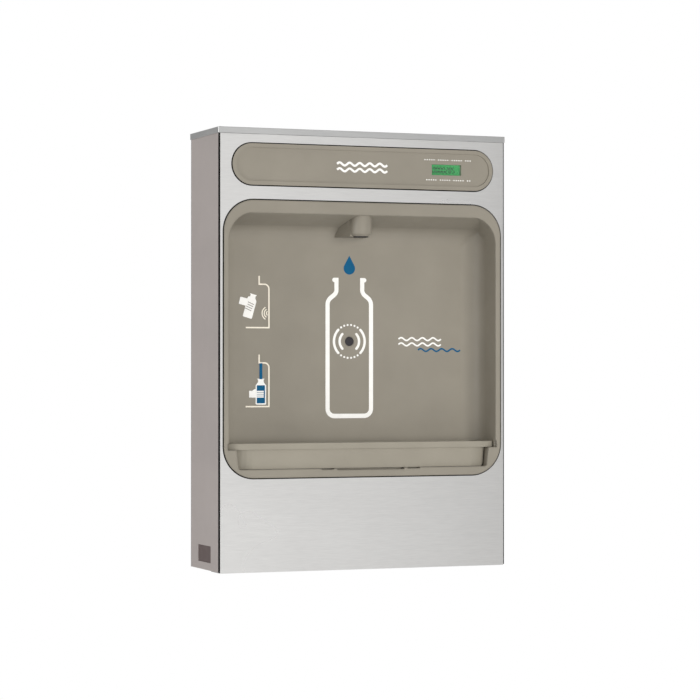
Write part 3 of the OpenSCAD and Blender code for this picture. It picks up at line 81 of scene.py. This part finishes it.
class Surface:
    """A material with a Principled shader, and short ways to add nodes to it."""

    def __init__(self, name):
        self.material = bpy.data.materials.new(name)
        self.material.use_nodes = True
        self.tree = self.material.node_tree
        self.shader = self.tree.nodes["Principled BSDF"]
        self.place = self.add("ShaderNodeTexCoord").outputs["Object"]

    def add(self, kind, **settings):
        node = self.tree.nodes.new(kind)
        for name, value in settings.items():
            setattr(node, name, value)
        return node

    def put(self, source, target):
        self.tree.links.new(source, target)

    def set(self, **values):
        for name, value in values.items():
            self.shader.inputs[name.replace("_", " ")].default_value = value

    def noise(self, scale, detail=3.0, stretch=(1, 1, 1)):
        mapping = self.add("ShaderNodeMapping")
        mapping.inputs["Scale"].default_value = stretch
        texture = self.add("ShaderNodeTexNoise")
        texture.inputs["Scale"].default_value = scale
        texture.inputs["Detail"].default_value = detail
        self.put(self.place, mapping.inputs["Vector"])
        self.put(mapping.outputs["Vector"], texture.inputs["Vector"])
        return texture.outputs["Fac"]

    def range(self, value, low, high, out_low, out_high):
        node = self.add("ShaderNodeMapRange")
        node.inputs["From Min"].default_value = low
        node.inputs["From Max"].default_value = high
        node.inputs["To Min"].default_value = out_low
        node.inputs["To Max"].default_value = out_high
        self.put(value, node.inputs["Value"])
        return node.outputs["Result"]

    def uneven(self, value):
        return self.range(value, *NOISE_SPAN, 0, 1)

    def blend(self, share, first, second):
        """Mix of two colours or colour outputs. share is an output or a plain number."""
        node = self.add("ShaderNodeMix", data_type="RGBA")
        first_socket = [s for s in node.inputs if s.identifier == "A_Color"][0]
        second_socket = [s for s in node.inputs if s.identifier == "B_Color"][0]
        factor = [s for s in node.inputs if s.identifier == "Factor_Float"][0]
        if isinstance(share, float):
            factor.default_value = share
        else:
            self.put(share, factor)
        for socket, colour in ((first_socket, first), (second_socket, second)):
            if isinstance(colour, tuple):
                socket.default_value = colour
            else:
                self.put(colour, socket)
        return [s for s in node.outputs if s.identifier == "Result_Color"][0]

    def colour(self, source):
        self.put(source, self.shader.inputs["Base Color"])

    def roughness(self, source):
        self.put(source, self.shader.inputs["Roughness"])

    def bump(self, height, distance, strength=1.0, edge_radius=0.0):
        node = self.add("ShaderNodeBump")
        if edge_radius > 0:
            rounded = self.add("ShaderNodeBevel", samples=6)
            rounded.inputs["Radius"].default_value = edge_radius
            self.put(rounded.outputs["Normal"], node.inputs["Normal"])
        node.inputs["Strength"].default_value = strength
        node.inputs["Distance"].default_value = distance
        self.put(height, node.inputs["Height"])
        self.put(node.outputs["Normal"], self.shader.inputs["Normal"])


def shade(colour, factor):
    return (*(min(c * factor, 1.0) for c in colour[:3]), 1.0)


def brushed_steel(name, colour, stretch, rough=(0.24, 0.34)):
    """Stainless steel with a directional grain. stretch is the grain's scale on each axis."""
    s = Surface(name)
    s.set(Metallic=1.0, Anisotropic=0.45)
    fine = s.noise(1.0, 5.0, stretch)
    broad = s.noise(1.0, 3.0, tuple(v * 0.25 for v in stretch))
    cloud = s.noise(7.0, 2.0)
    streak = s.blend(s.range(fine, *WIDE_SPAN, 0, 1), shade(colour, 0.88), shade(colour, 1.06))
    band = s.blend(s.range(broad, *WIDE_SPAN, 0, 1), shade(colour, 0.94), shade(colour, 1.04))
    s.colour(s.blend(0.5, streak, band))
    s.roughness(s.range(cloud, 0.1, 0.9, *rough))
    s.bump(fine, 0.00004, 0.35)
    return s.material


def moulded_plastic(name, colour, rough=0.42, mottle=0.05, gloss=0.35, edge_radius=0.0):
    """Moulded plastic with a fine grain and faint mottling."""
    s = Surface(name)
    s.set(IOR=1.5, Specular_IOR_Level=gloss)
    mottled = s.noise(14.0, 4.0)
    s.colour(s.blend(s.uneven(mottled), shade(colour, 1 - mottle), shade(colour, 1 + mottle)))
    s.roughness(s.range(s.noise(60.0, 3.0), *NOISE_SPAN, rough - 0.05, rough + 0.06))
    s.bump(s.noise(2200.0, 2.0), 0.00005, 0.5, edge_radius)
    return s.material


def painted(name, colour, rough=0.38):
    """Paint on sheet metal with a faint orange peel."""
    s = Surface(name)
    s.set(IOR=1.5)
    s.shader.inputs["Coat Weight"].default_value = 0.15
    s.shader.inputs["Coat Roughness"].default_value = 0.2
    drift = s.noise(5.0, 3.0, (1, 1, 3))
    s.colour(s.blend(s.uneven(drift), shade(colour, 0.96), shade(colour, 1.04)))
    s.roughness(s.range(s.noise(30.0, 3.0), *NOISE_SPAN, rough - 0.04, rough + 0.06))
    s.bump(s.noise(500.0, 2.0), 0.00004, 0.25)
    return s.material


def plated(name, colour, rough=0.3, spread=0.12, stretch=(1, 1, 1)):
    """Machined, plated or drawn metal with handling marks."""
    s = Surface(name)
    s.set(Metallic=1.0)
    tint = s.noise(40.0, 4.0, stretch)
    s.colour(s.blend(s.uneven(tint), shade(colour, 0.85), shade(colour, 1.08)))
    s.roughness(s.range(s.noise(120.0, 4.0, stretch), *NOISE_SPAN, rough, rough + spread))
    s.bump(s.noise(900.0, 2.0, stretch), 0.00003, 0.3)
    return s.material


def rubber(name, colour, rough=0.6):
    s = Surface(name)
    s.set(IOR=1.45, Specular_IOR_Level=0.15)
    dust = s.noise(35.0, 4.0)
    s.colour(s.blend(s.range(dust, 0.35, 0.75, 0, 1), colour, shade(colour, 1.5)))
    s.roughness(s.range(s.noise(80.0, 3.0), *NOISE_SPAN, rough, rough + 0.15))
    s.bump(s.noise(1500.0, 2.0), 0.00004, 0.5)
    return s.material


def printed_ink(name, colour):
    """Screen-printed ink: even, slightly uneven in gloss."""
    s = Surface(name)
    s.set(IOR=1.5, Specular_IOR_Level=0.2)
    s.colour(s.blend(s.uneven(s.noise(90.0, 3.0)), shade(colour, 0.97), shade(colour, 1.02)))
    s.roughness(s.range(s.noise(300.0, 2.0), *NOISE_SPAN, 0.35, 0.5))
    s.bump(s.noise(2500.0, 2.0), 0.00001, 0.3)
    return s.material


def wall_print_ink(name, colour, drop_colour, drop_z):
    """White ink, with the drop above the bottle in blue."""
    s = Surface(name)
    s.set(IOR=1.5, Specular_IOR_Level=0.2)
    split = s.add("ShaderNodeSeparateXYZ")
    s.put(s.place, split.inputs[0])
    above = s.add("ShaderNodeMath", operation="GREATER_THAN")
    above.inputs[1].default_value = drop_z
    s.put(split.outputs["Z"], above.inputs[0])
    patches = s.uneven(s.noise(90.0, 3.0))
    light = s.blend(patches, shade(colour, 0.97), shade(colour, 1.02))
    dark = s.blend(patches, shade(drop_colour, 0.93), shade(drop_colour, 1.05))
    s.colour(s.blend(above.outputs[0], light, dark))
    s.roughness(s.range(s.noise(300.0, 2.0), *NOISE_SPAN, 0.35, 0.5))
    return s.material


def display_glass(name):
    """Thin clear window: a gloss over what lies behind it."""
    s = Surface(name)
    s.set(IOR=1.25, Alpha=0.05)
    s.shader.inputs["Base Color"].default_value = paint(190, 215, 198)
    s.roughness(s.range(s.noise(200.0, 3.0), *NOISE_SPAN, 0.04, 0.10))
    return s.material


def backlit_display(name, colour):
    """Green display with a faintly uneven light."""
    s = Surface(name)
    s.set(IOR=1.5, Specular_IOR_Level=0.1)
    glow = s.noise(25.0, 2.0)
    tone = s.blend(s.uneven(glow), shade(colour, 0.9), shade(colour, 1.1))
    s.colour(tone)
    s.put(tone, s.shader.inputs["Emission Color"])
    s.shader.inputs["Emission Strength"].default_value = 0.12
    s.shader.inputs["Roughness"].default_value = 0.5
    return s.material


def board_material(name):
    """Green circuit board with lighter copper tracks under the mask."""
    s = Surface(name)
    s.set(IOR=1.5)
    s.shader.inputs["Roughness"].default_value = 0.35
    tracks = s.add("ShaderNodeTexBrick", offset=0.37, squash=0.6)
    tracks.inputs["Scale"].default_value = 90.0
    tracks.inputs["Mortar Size"].default_value = 0.02
    tracks.inputs["Color1"].default_value = paint(20, 92, 44)
    tracks.inputs["Color2"].default_value = paint(24, 104, 50)
    tracks.inputs["Mortar"].default_value = paint(56, 138, 70)
    turned = s.add("ShaderNodeMapping")
    turned.inputs["Rotation"].default_value = (math.pi / 2, 0, 0)
    s.put(s.place, turned.inputs["Vector"])
    s.put(turned.outputs["Vector"], tracks.inputs["Vector"])
    s.colour(tracks.outputs["Color"])
    return s.material


def copper_winding(name, colour):
    s = Surface(name)
    s.set(Metallic=0.8)
    turns = s.add("ShaderNodeTexWave", bands_direction="Z")
    turns.inputs["Scale"].default_value = 420.0
    s.put(s.place, turns.inputs["Vector"])
    # Each turn runs from dark to light: painted shade in the grooves between the wires.
    s.colour(s.blend(turns.outputs["Fac"], shade(colour, 0.6), shade(colour, 1.1)))
    s.bump(turns.outputs["Fac"], 0.0003, 0.6)
    s.shader.inputs["Roughness"].default_value = 0.35
    return s.material


SHEET_GRAIN = (55, 55, 800)      # brushed from left to right
DROP_FOOT = 111.5 * MM           # ink higher than this on the wall is the drop

looks = {
    "grey_paint": painted("grey_paint", SIDE_GREY),
    "brushed_steel": brushed_steel("brushed_steel", STEEL, SHEET_GRAIN),
    "zinc_steel": plated("zinc_steel", paint(186, 188, 190), 0.38),
    "taupe_plastic": moulded_plastic("taupe_plastic", TAUPE),
    # Near black, darker than plain rubber: partly the gaskets' own black, partly painted shade for the deep
    # gaps around the header and the alcove.
    "black_rubber": rubber("black_rubber", paint(6, 6, 6)),
    "dark_plastic": moulded_plastic("dark_plastic", paint(48, 47, 47), 0.5, mottle=0.12),
    "brown_plastic": moulded_plastic("brown_plastic", paint(94, 82, 80), 0.5, gloss=0.2),
    "clear_window": display_glass("clear_window"),
    "lcd_green": backlit_display("lcd_green", LCD_GREEN),
    "white_plastic": moulded_plastic("white_plastic", paint(232, 231, 226), 0.35, mottle=0.02),
    "circuit_board": board_material("circuit_board"),
    "button_red": moulded_plastic("button_red", paint(196, 42, 34), 0.3),
    "brass": plated("brass", paint(206, 174, 104), 0.25),
    "stainless": plated("stainless", STEEL_DARK, 0.28, stretch=(1, 1, 8)),
    "chromed_pipe": plated("chromed_pipe", paint(220, 221, 222), 0.08, 0.08),
    "blue_lever": moulded_plastic("blue_lever", paint(36, 84, 158), 0.32),
    "water_tube": moulded_plastic("water_tube", paint(232, 236, 234), 0.3, mottle=0.03),
    "cable_black": rubber("cable_black", paint(38, 37, 37), 0.5),
    "copper": copper_winding("copper", paint(214, 140, 96)),
    "sensor_glass": moulded_plastic("sensor_glass", paint(43, 40, 43), 0.15, mottle=0.1),
    "print_ink": wall_print_ink("print_ink", INK_WHITE, INK_BLUE, DROP_FOOT),
}
ink_white = printed_ink("ink_white", INK_WHITE)
ink_cream = printed_ink("ink_cream", INK_CREAM)
ink_blue = printed_ink("ink_blue", INK_BLUE)
ink_dark = printed_ink("ink_dark", LCD_DIGIT)
ink_gap = printed_ink("ink_gap", TAUPE_DEEP)
# Pieces that share a slot with others but look a little different
own_looks = {
    "top_cover": brushed_steel("cover_steel", COVER_STEEL, SHEET_GRAIN),
    "alcove_shell": moulded_plastic("alcove_plastic", TAUPE, edge_radius=4 * MM),
    # The tray: the same taupe painted lighter, as painted light for the stronger light on its front.
    "bottle_tray": moulded_plastic("tray_plastic_lit", TAUPE_TRAY_LIT),
}

for part in frame["record"]["subparts"]:
    mesh = frame["nodes"][part["node"]].data
    mesh.materials.clear()
    mesh.materials.append(own_looks.get(part["node"]) or looks[part["material_slot"]])


# Softened edges on the sheet metal and the mouldings, in millimetres
SOFT_EDGES = {
    "front_panel": 1.2, "top_cover": 1.6, "cabinet_shell": 0.5, "header_bezel": 0.8,
    "bottle_tray": 1.2, "nozzle_cover": 0.6, "side_blank": 0.3, "power_lid": 0.5,
}
for node, width in SOFT_EDGES.items():
    piece = frame["nodes"][node]
    weld = piece.modifiers.new("weld", "WELD")
    weld.merge_threshold = 0.00001
    bevel = piece.modifiers.new("bevel", "BEVEL")
    bevel.width = width * MM
    bevel.segments = 2
    bevel.limit_method = "ANGLE"
    bevel.angle_limit = math.radians(40)
    bevel.use_clamp_overlap = True
    bevel.harden_normals = True

# Flat prints. Outlines are in millimetres, X to the right and Z up.
INK = 0.15
WALL_Y = -69.05       # front of the alcove's back wall
DISH_Y = -130.82      # front of the dish in the header
GLASS_Y = -126.27     # front of the display's glass
LAYER = INK + 0.02    # from one print to the next one over it
FRAME_BASE = 323.5    # from the bottom edge to the frame's origin


def face_sheet(name, outlines, back_y, material):
    """One mesh of thin flat slabs whose back lies at back_y."""
    mesh = bpy.data.meshes.new(name)
    work = bmesh.new()
    for outline in outlines:
        front = [work.verts.new((x * MM, (back_y - INK) * MM, z * MM)) for x, z in outline]
        back = [work.verts.new((x * MM, back_y * MM, z * MM)) for x, z in outline]
        work.faces.new(front)
        work.faces.new(list(reversed(back)))
        count = len(outline)
        for i in range(count):
            j = (i + 1) % count
            work.faces.new((front[i], back[i], back[j], front[j]))
    bmesh.ops.recalc_face_normals(work, faces=work.faces)
    work.to_mesh(mesh)
    work.free()
    piece = bpy.data.objects.new(name, mesh)
    scene.collection.objects.link(piece)
    mesh.materials.append(material)
    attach(piece, CABINET)
    return piece


def ribbon(points, width):
    """Outline of a line of even width along points."""
    left, right = [], []
    last = len(points) - 1
    for i, (x, z) in enumerate(points):
        ahead = points[min(i + 1, last)]
        behind = points[max(i - 1, 0)]
        into = unit((x - behind[0], z - behind[1])) if i > 0 else None
        out = unit((ahead[0] - x, ahead[1] - z)) if i < last else None
        into = into or out
        out = out or into
        normal = unit((-(into[1] + out[1]), into[0] + out[0]))
        stretch = 1 / max(0.4, normal[0] * -into[1] + normal[1] * into[0])
        reach = width / 2 * stretch
        left.append((x + normal[0] * reach, z + normal[1] * reach))
        right.append((x - normal[0] * reach, z - normal[1] * reach))
    return left + right[::-1]


def unit(v):
    length = math.hypot(*v)
    return (v[0] / length, v[1] / length)


def arc(x, z, r, start, end, steps=14):
    angles = [math.radians(start + (end - start) * i / steps) for i in range(steps + 1)]
    return [(x + r * math.cos(a), z + r * math.sin(a)) for a in angles]


def disc(x, z, r, steps=20):
    return arc(x, z, r, 0, 360, steps)[:-1]


def block(x0, x1, z0, z1, r):
    """Rounded rectangle."""
    corners = ((x1 - r, z1 - r, 0), (x0 + r, z1 - r, 90), (x0 + r, z0 + r, 180), (x1 - r, z0 + r, 270))
    return [p for x, z, start in corners for p in arc(x, z, r, start, start + 90, 5)]


def turned(outline, centre, degrees):
    a = math.radians(degrees)
    x0, z0 = centre
    return [
        (x0 + (x - x0) * math.cos(a) - (z - z0) * math.sin(a),
         z0 + (x - x0) * math.sin(a) + (z - z0) * math.cos(a))
        for x, z in outline
    ]


def lowered(outline, amount=FRAME_BASE):
    return [(x, z - amount) for x, z in outline]


def wave_line(x0, x1, z, height, periods, width):
    steps = int(periods * 16)
    points = [
        (x0 + (x1 - x0) * i / steps, z + height * math.sin(2 * math.pi * periods * i / steps))
        for i in range(steps + 1)
    ]
    return ribbon(points, width)


def small_bottle(x, z0, half, height, neck_half):
    """Bottle outline with sloped shoulders and a lip."""
    shoulder = z0 + height * 0.74
    neck = z0 + height * 0.87
    top = z0 + height
    right = [
        (x + half, shoulder), (x + neck_half, neck), (x + neck_half, top - 1.2),
        (x + neck_half + 1, top - 1.2), (x + neck_half + 1, top),
    ]
    left = [(2 * x - px, pz) for px, pz in reversed(right)]
    base = arc(x - half + 1.5, z0 + 1.5, 1.5, 180, 270, 4) + arc(x + half - 1.5, z0 + 1.5, 1.5, 270, 360, 4)
    return base + right + left


# Guide 1: a bottle is held up to the sensor. Guide 2: it stands on the tray and fills.
GUIDE_LINE = 2.1
GUIDE_X = -128.3


def guide_profile(top, base):
    """Section through the alcove: spout, back wall and tray."""
    corner = arc(GUIDE_X - 7, top - 12.3 - 7, 7, 90, 0, 8)
    points = [(GUIDE_X - 15.4, top), (GUIDE_X - 15.4, top - 12.3)] + corner
    points += [(GUIDE_X, base), (GUIDE_X - 36.4, base)]
    return lowered(ribbon(points, GUIDE_LINE))


def hand(x, z, reach, fingers):
    """Side view of a hand in three layers: cuff and fingers, palm, thumb."""
    spread = [block(x - 7.5, x - 4.5, z - 5, z + 5, 0.6)]
    for i in range(fingers):
        low = z - 5.2 + i * 2.7
        spread.append(block(x, x + reach, low, low + 2.0, 0.95))
    palm = block(x - 5, x + 2.5, z - 5.2, z + 5.2, 2.2)
    thumb = turned(block(x - 2, x + 4, z + 3.6, z + 6.6, 1.4), (x, z + 5), 24)
    return spread, [palm], [thumb]


face_sheet("guide_profiles", [guide_profile(433.6, 357.0), guide_profile(317.1, 240.1)], WALL_Y, ink_cream)
face_sheet(
    "guide_sensor_waves",
    [lowered(ribbon(arc(GUIDE_X - 0.8, 378.3, r, 118, 242), 1.5)) for r in (3.2, 6.6, 10.0)],
    WALL_Y, ink_cream)
held = (-157.5, 389.0)    # middle of the held bottle
GAP_PITCH = 3.4
GAP_WIDTH = 0.9
face_sheet(
    "guide_held_bottle",
    [lowered(turned(small_bottle(held[0], held[1] - 18, 7.4, 36, 4.2), held, -16))],
    WALL_Y, ink_white)
face_sheet(
    "guide_held_hand_gaps",
    [lowered(turned(block(held[0] - 6.5, held[0] + 4.4, low, low + GAP_WIDTH, 0.4), held, -24))
     for low in (held[1] - 6.6 + i * GAP_PITCH for i in range(4))],
    WALL_Y - LAYER, ink_gap)
face_sheet(
    "guide_held_cuff",
    [lowered(turned(block(held[0] - 18.5, held[0] - 5.0, held[1] - 1.5, held[1] + 9.5, 1.2), held, -14))],
    WALL_Y - 2 * LAYER, ink_white)
face_sheet(
    "guide_held_thumb",
    [lowered(turned(block(held[0] - 10.0, held[0] - 4.0, held[1] + 6.0, held[1] + 11.6, 2.2), held, -30))],
    WALL_Y - 3 * LAYER, ink_white)

fill_x = -141.0           # middle of the filling bottle
stream = [lowered(block(fill_x - 2.3, fill_x + 2.3, 280.6, 304.4, 0.3))]
face_sheet("guide_fill_stream", stream, WALL_Y - LAYER, ink_blue)
face_sheet("guide_fill_bottle", [lowered(small_bottle(fill_x, 243.0, 8.2, 38.4, 4.4))], WALL_Y, ink_white)
face_sheet(
    "guide_fill_water", [lowered(block(fill_x - 6.4, fill_x + 6.4, 245.0, 271.6, 0.7))],
    WALL_Y - LAYER, ink_blue)
for level, shapes in enumerate(hand(-152.0, 258.6, 15.6, 4)):
    face_sheet(
        "guide_fill_hand_" + str(level), [lowered(shape) for shape in shapes],
        WALL_Y - (2 + level) * LAYER, ink_white)

# Plain ornaments: waves at the right of the wall and on the header, dots where small print would be
face_sheet(
    "wall_waves_white",
    [lowered(wave_line(80, 150, z, 2.1, 4, 2.4)) for z in (341.0, 333.0)], WALL_Y, ink_white)
face_sheet("wall_waves_blue", [lowered(wave_line(112, 182, 324.5, 2.1, 4, 2.4))], WALL_Y, ink_blue)
face_sheet(
    "header_waves",
    [lowered(wave_line(-44, 36, z, 2.2, 5, 3.2)) for z in (598.0, 589.4)], DISH_Y, ink_white)
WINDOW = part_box("display_lens")
window_x = (WINDOW[0].x + WINDOW[1].x) / 2 / MM
window_z = (WINDOW[0].z + WINDOW[1].z) / 2 / MM
DOT_PITCH = 3.7
DOTS_IN_GROUP = 5    # every further dot after these is left out
DOT_ROWS = ((97.0, 171.0, 608.5), (100.0, 171.0, 578.5))    # first x, last x and height above the bottom edge
face_sheet(
    "display_dots",
    [lowered(disc(first + i * DOT_PITCH, z, 0.95, 12))
     for first, last, z in DOT_ROWS for i in range(int((last - first) / DOT_PITCH) + 1)
     if i % (DOTS_IN_GROUP + 1) != DOTS_IN_GROUP],
    DISH_Y, ink_white)
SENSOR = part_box("sensor_window")
sensor_z = (SENSOR[0].z + SENSOR[1].z) / 2 / MM
SENSOR_RING = 24.8
dot_angles = [90 + side * (6.5 + 13 * i) for side in (-1, 1) for i in range(3)]
face_sheet(
    "sensor_dots",
    [disc(SENSOR_RING * math.cos(math.radians(a + flip)),
          sensor_z + SENSOR_RING * math.sin(math.radians(a + flip)), 1.6, 14)
     for a in dot_angles for flip in (0, 180)],
    WALL_Y, ink_white)

# Seven-segment count on the display
DIGIT_W = 3.3
DIGIT_H = 9.0
DIGIT_PITCH = 5.3
SEGMENT = 1.5
SLANT = 0.12
LIT = {
    "0": "abcdef", "1": "bc", "2": "abged", "3": "abgcd", "4": "fgbc",
    "5": "afgcd", "6": "afgedc", "7": "abc", "8": "abcdefg", "9": "abcdfg",
}
ENDS = {
    "a": ((0, 1), (1, 1)), "b": ((1, 1), (1, 0.5)), "c": ((1, 0.5), (1, 0)), "d": ((0, 0), (1, 0)),
    "e": ((0, 0.5), (0, 0)), "f": ((0, 1), (0, 0.5)), "g": ((0, 0.5), (1, 0.5)),
}


def digit(character, x, z):
    shapes = []
    for segment in LIT[character]:
        ends = [(x + u * DIGIT_W + v * DIGIT_H * SLANT, z + v * DIGIT_H) for u, v in ENDS[segment]]
        way = unit((ends[1][0] - ends[0][0], ends[1][1] - ends[0][1]))
        trim = SEGMENT * 0.62
        start = (ends[0][0] + way[0] * trim, ends[0][1] + way[1] * trim)
        stop = (ends[1][0] - way[0] * trim, ends[1][1] - way[1] * trim)
        shapes.append(ribbon([start, stop], SEGMENT))
    return shapes


digits = []
for i, character in enumerate("0000285"):
    digits += digit(character, window_x - 21.0 + i * DIGIT_PITCH, window_z - DIGIT_H / 2)
face_sheet("display_count", digits, GLASS_Y, ink_dark)


# Camera at the photograph's angle
LENS = 129.67
camera_data = bpy.data.cameras.new("camera")
camera_data.lens = LENS
camera_data.sensor_width = 36
camera = bpy.data.objects.new("camera", camera_data)
camera.location = (-1.3986, -3.5863, -0.0257)
camera.rotation_euler = (math.radians(90.40), 0, math.radians(-21.70))
scene.collection.objects.link(camera)
scene.camera = camera


# Floor, light and background
def soft_box(name, place, target, width, height, power, glossy=True):
    data = bpy.data.lights.new(name, "AREA")
    data.shape = "RECTANGLE"
    data.size = width
    data.size_y = height
    data.energy = power
    lamp = bpy.data.objects.new(name, data)
    lamp.location = place
    lamp.rotation_euler = (Vector(target) - Vector(place)).to_track_quat("-Z", "Y").to_euler()
    lamp.visible_camera = False
    lamp.visible_glossy = glossy
    scene.collection.objects.link(lamp)
    return lamp


def grey_card(name, place, target, width, height, level):
    """A card for bright metal to mirror. The camera and diffuse light don't see it."""
    mesh = bpy.data.meshes.new(name)
    x, y = width / 2, height / 2
    mesh.from_pydata([(-x, -y, 0), (x, -y, 0), (x, y, 0), (-x, y, 0)], [], [(0, 1, 2, 3)])
    card = bpy.data.objects.new(name, mesh)
    card.location = place
    card.rotation_euler = (Vector(target) - Vector(place)).to_track_quat("-Z", "Y").to_euler()
    card.visible_camera = False
    card.visible_diffuse = False
    card.visible_shadow = False
    scene.collection.objects.link(card)
    material = bpy.data.materials.new(name)
    material.use_nodes = True
    shader = material.node_tree.nodes["Principled BSDF"]
    shader.inputs["Base Color"].default_value = (0, 0, 0, 1)
    shader.inputs["Emission Color"].default_value = (1, 1, 1, 1)
    shader.inputs["Emission Strength"].default_value = level
    mesh.materials.append(material)


def white_where_seen(tree, lit, target):
    """White for the camera and in gloss and glass, and the plain shader for all other light."""
    seen = tree.nodes.new("ShaderNodeLightPath")
    either = tree.nodes.new("ShaderNodeMath")
    either.operation = "MAXIMUM"
    both = tree.nodes.new("ShaderNodeMath")
    both.operation = "MAXIMUM"
    tree.links.new(seen.outputs["Is Camera Ray"], either.inputs[0])
    tree.links.new(seen.outputs["Is Glossy Ray"], either.inputs[1])
    tree.links.new(either.outputs[0], both.inputs[0])
    tree.links.new(seen.outputs["Is Transmission Ray"], both.inputs[1])
    mix = tree.nodes.new("ShaderNodeMixShader")
    white = tree.nodes.new("ShaderNodeEmission")
    white.inputs["Color"].default_value = (1, 1, 1, 1)
    white.inputs["Strength"].default_value = 1.0
    tree.links.new(both.outputs[0], mix.inputs[0])
    tree.links.new(lit, mix.inputs[1])
    tree.links.new(white.outputs[0], mix.inputs[2])
    tree.links.new(mix.outputs[0], target)


WORLD_LEVEL = 0.24    # light from all round; the camera and gloss see white instead
world = bpy.data.worlds.new("studio")
world.use_nodes = True
world_tree = world.node_tree
background = world_tree.nodes["Background"]
background.inputs["Color"].default_value = (1, 1, 1, 1)
background.inputs["Strength"].default_value = WORLD_LEVEL
white_where_seen(world_tree, background.outputs[0], world_tree.nodes["World Output"].inputs["Surface"])
scene.world = world

floor_mesh = bpy.data.meshes.new("floor")
floor_mesh.from_pydata([(-30, -30, 0), (30, -30, 0), (30, 30, 0), (-30, 30, 0)], [], [(0, 1, 2, 3)])
floor = bpy.data.objects.new("floor", floor_mesh)
floor.location = (0, 0, -1.25)
scene.collection.objects.link(floor)
floor_paint = bpy.data.materials.new("floor")
floor_paint.use_nodes = True
floor_tree = floor_paint.node_tree
floor_shader = floor_tree.nodes["Principled BSDF"]
floor_shader.inputs["Base Color"].default_value = (0.8, 0.8, 0.8, 1)
floor_shader.inputs["Roughness"].default_value = 0.9
white_where_seen(floor_tree, floor_shader.outputs[0], floor_tree.nodes["Material Output"].inputs["Surface"])
floor_mesh.materials.append(floor_paint)

soft_box("key", (0.9, -3.3, 0.2), (0, 0, 0), 1.4, 1.4, 62, glossy=False)
soft_box("front", (-0.4, -4.2, -0.2), (0, 0, 0), 2.0, 1.6, 40, glossy=False)
soft_box("left", (-3.2, -0.5, 0.2), (0, 0, 0), 2.4, 2.4, 52)
grey_card("card_right", (3.4, -3.1, 0.0), (0, 0, 0), 3.0, 4.0, 0.1)
grey_card("card_back", (-1.7, 3.2, 0.4), (0, 0, 0), 3.0, 3.0, 0.35)
grey_card("card_top", (0.0, -0.6, 2.6), (0, 0, 0), 3.0, 3.0, 0.2)

scene.view_settings.view_transform = "Standard"
